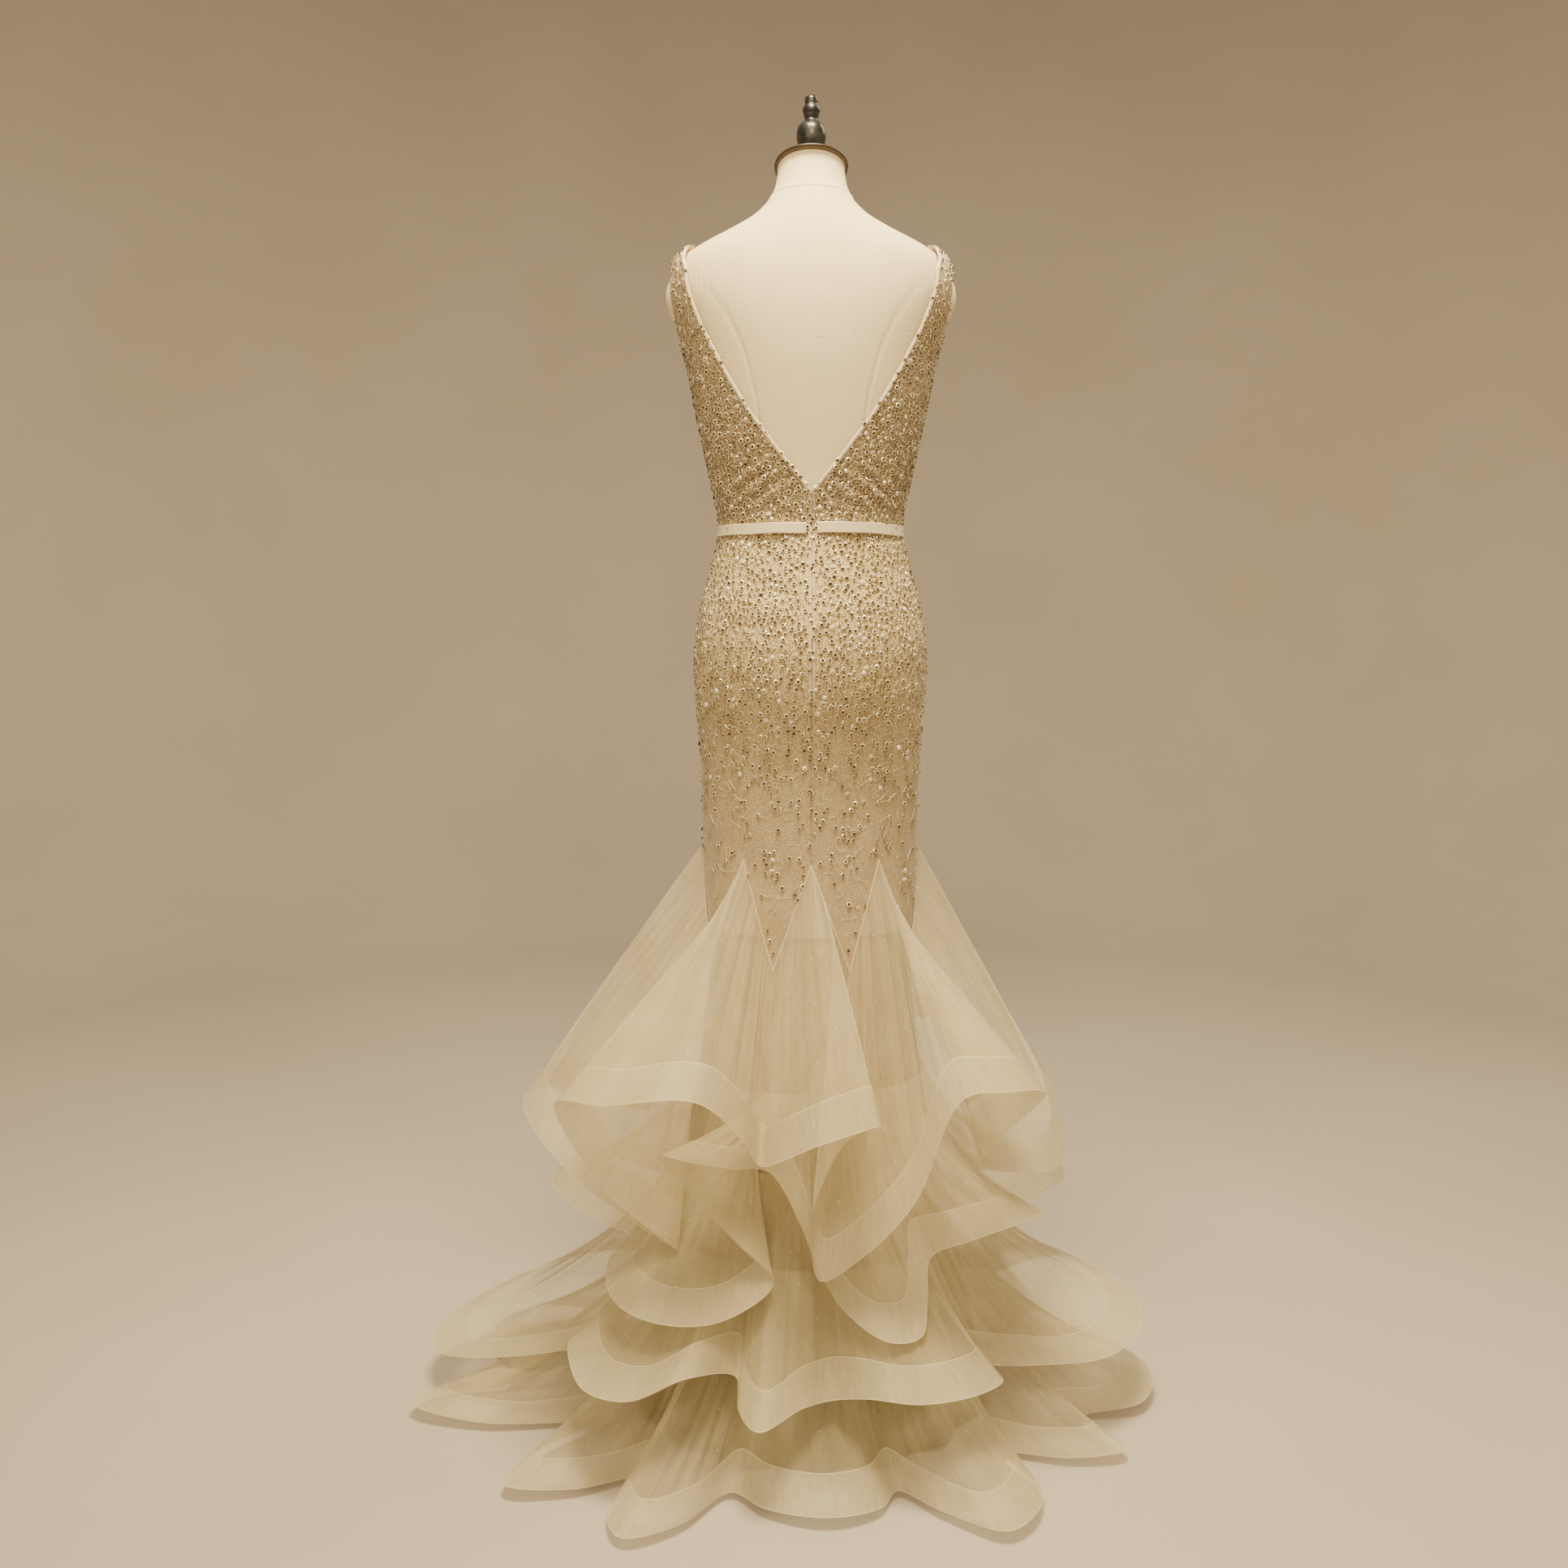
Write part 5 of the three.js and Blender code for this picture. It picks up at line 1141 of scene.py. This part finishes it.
def sheer_tulle():
    """Fine net that lets about half the light through face on and closes up at a slant."""
    material, shader, add, join = nodes_of("sheer_cream_tulle", {"Roughness": 0.55, "Sheen Weight": 0.4})
    place = add("TexCoord").outputs["UV"]
    streak = noise(add, place, (40, 700, 1), detail=3)
    cloud = noise(add, place, scale=18, detail=3)
    # Painted glints: the net's real glitter streaks, painted near white and opaque as if each caught the
    # light.
    drawn_out = add("Mapping", {"Vector": place, "Scale": (260, 1400, 1)}).outputs[0]
    glint = add("TexVoronoi", {"Vector": drawn_out, "Scale": 1.0})
    glitter_glint_flecks = ramp(add, glint.outputs["Color"], [(0.955, (0, 0, 0)), (0.965, (1, 1, 1))])
    tone = ramp(add, cloud, [(0.3, (0.74, 0.63, 0.36)), (0.7, (0.88, 0.78, 0.50))])
    lit = add("MixRGB", {"Fac": glitter_glint_flecks, "Color1": tone, "Color2": (1.0, 0.93, 0.74, 1)})
    join(lit.outputs[0], shader.inputs["Base Color"])
    creases = noise(add, place, (34, 1.6, 1), 1.0, 4)
    soft_bump(add, join, shader, creases, 0.42, 0.012)
    facing = add("LayerWeight", {"Blend": 0.35})
    covers = [(slant, (cover,) * 3) for slant, cover in ((0.0, 0.36), (0.5, 0.50), (0.92, 0.92))]
    thick = ramp(add, facing.outputs["Facing"], covers)
    fold = noise(add, place, (26, 1.8, 1), 1.0, 3)
    uneven = add("MixRGB", {"Fac": 0.6, "Color1": streak, "Color2": fold})
    mesh_hole = ramp(add, uneven.outputs[0], [(0.38, (0.84, 0.84, 0.84)), (0.62, (1.16, 1.16, 1.16))])
    cover = add("Math", {0: thick, 1: mesh_hole}, operation="MULTIPLY")
    closed = add("Math", {0: cover.outputs[0], 1: glitter_glint_flecks}, operation="MAXIMUM", use_clamp=True)
    join(closed.outputs[0], shader.inputs["Alpha"])
    return material


SHEER_TULLE = sheer_tulle()


def horsehair():
    """Stiff woven hem braid: a slanting open mesh between two bright cords."""
    fixed = {"Roughness": 0.32, "Specular IOR Level": 0.6}
    material, shader, add, join = nodes_of("horsehair_hem_braid", fixed)
    place = add("TexCoord").outputs["UV"]
    split = add("SeparateXYZ", {"Vector": place})
    threads = []
    for lean in (0.65, -0.65):
        turned = add("Mapping", {"Vector": place, "Rotation": (0, 0, lean)}).outputs[0]
        threads.append(add("TexWave", {"Vector": turned, "Scale": 190.0, "Distortion": 0.6}).outputs["Fac"])
    mesh = add("Math", {0: threads[0], 1: threads[1]}, operation="MAXIMUM")
    middle = add("Math", {0: split.outputs["Y"], 1: 0.5}, operation="SUBTRACT")
    away = add("Math", {0: middle.outputs[0]}, operation="ABSOLUTE")
    cord = ramp(add, away.outputs[0], [(0.480, (0, 0, 0)), (0.491, (1, 1, 1))])
    # Painted sheen: soft slanting bands of lighter and darker braid, as if the stiff braid caught the light.
    slanted = add("Mapping", {"Vector": place, "Rotation": (0, 0, 0.5), "Scale": (3, 0.5, 1)}).outputs[0]
    painted_sheen_bands = noise(add, slanted, scale=4, detail=3)
    tone = ramp(add, painted_sheen_bands, [(0.3, (0.72, 0.63, 0.40)), (0.7, (0.88, 0.81, 0.57))])
    bright = add("MixRGB", {"Fac": cord, "Color1": tone, "Color2": (0.90, 0.83, 0.60, 1)})
    join(bright.outputs[0], shader.inputs["Base Color"])
    open_mesh = ramp(add, mesh.outputs[0], [(0.3, (0.22, 0.22, 0.22)), (0.8, (0.54, 0.54, 0.54))])
    whole = add("Math", {0: open_mesh, 1: cord}, operation="MAXIMUM", use_clamp=True)
    join(whole.outputs[0], shader.inputs["Alpha"])
    soft_bump(add, join, shader, mesh.outputs[0], 0.25, 0.0006)
    return material


HORSEHAIR = horsehair()
BRAID_WIDTH = 0.050


def take(grid, first, last):
    """Columns of a closed grid from one to another, round the end if need be."""
    return grid[:, np.arange(first, last + 1) % grid.shape[1]]


def make_flounce(flounce):
    shares = np.concatenate([np.linspace(0, 0.80, 16), np.linspace(0.85, 1, 8)])
    grid, crease = flounce_grid(flounce, shares)
    grid = grid + outward(grid) * (0.0042 * crease)[..., None]
    count = len(flounce["rows"])
    cuts = flounce["cuts"]
    u = np.concatenate([[0], np.cumsum(np.linalg.norm(np.roll(grid[-1], -1, 0) - grid[-1], axis=-1))])
    falls = np.cumsum(np.linalg.norm(np.diff(grid, axis=0), axis=-1), 0)
    v = np.concatenate([0 * falls[:1], falls])
    # The braid follows the last part of each column, as wide as the braid is.
    ends, _ = flounce_grid(flounce, [0.85, 1])
    share = 1 - 0.15 * BRAID_WIDTH / np.linalg.norm(ends[1] - ends[0], axis=-1)
    (top, half, low), _ = flounce_grid(flounce, [0.0, 0.5, 1.0])
    mid = 2 * half - 0.5 * (top + low)
    w = (share + (1 - share) * np.linspace(0, 1, 9)[:, None])[..., None]
    braid = (1 - w) ** 2 * top + 2 * w * (1 - w) * mid + w**2 * low
    braid = braid + outward(braid) * (SHEER / 2 + 2 * LIFT + 0.0006)
    for k in range(len(cuts)):
        first = cuts[k] * PER_SPAN
        last = cuts[(k + 1) % len(cuts)] * PER_SPAN
        last += count * PER_SPAN if last <= first else 0
        letter = "abcdefgh"[k]
        columns = np.arange(first, last + 1)
        wrapped = columns % grid.shape[1]
        along = np.tile(np.where(columns < grid.shape[1], u[wrapped], u[-1] + u[wrapped]), (len(shares), 1))
        cloth_map = np.stack([along, take(v, first, last)], -1)
        piece = grid_piece(f"tulle_{flounce['name']}_{letter}", take(grid, first, last), uv=cloth_map)
        finish_piece(piece, SHEER_TULLE, replaces=[f"{flounce['node']}_{letter}"])
        cross = np.tile(np.linspace(0, 1, len(braid))[:, None], (1, len(columns)))
        braid_map = np.stack([along[: len(braid)] * 20, cross], -1)
        band = grid_piece(f"hem_braid_{flounce['name']}_{letter}", take(braid, first, last), uv=braid_map)
        length = flounce["braids"][k]
        replaced = [f"{flounce['node']}_braid_{length}"] if length else []
        finish_piece(band, HORSEHAIR, replaces=replaced)


def godet_seams():
    """The narrow raised seam, stitched in pale thread, where the godets join the skirt."""
    a = np.unique(np.concatenate([np.linspace(-180, 180, 721), NOTCHES[:, 0], -NOTCHES[:, 0]]))
    across = np.linspace(-0.0011, 0.0011, 5)
    rise = np.array([0.0002, 0.0011, 0.0014, 0.0011, 0.0002])
    z = edge_z(a)[:, None] + 0.0015 + across[None, :] * 2.2
    lean = np.gradient(edge_z(a), a)[:, None]
    azimuth = a[:, None] - np.sign(lean) * across[None, :] * 160
    stitch = 0.00025 * np.sin(np.arange(len(a)) * 2.2)[:, None]
    grid = on_body(azimuth, z, OUTSIDE + 0.0004 + rise[None, :] + stitch * (rise > 0.0005))
    piece = grid_piece("godet_seam_cord", grid, uv=strip_uv(grid))
    finish_piece(piece, CREAM_SATIN)


godet_seams()
for flounce in FLOUNCES:
    make_flounce(flounce)
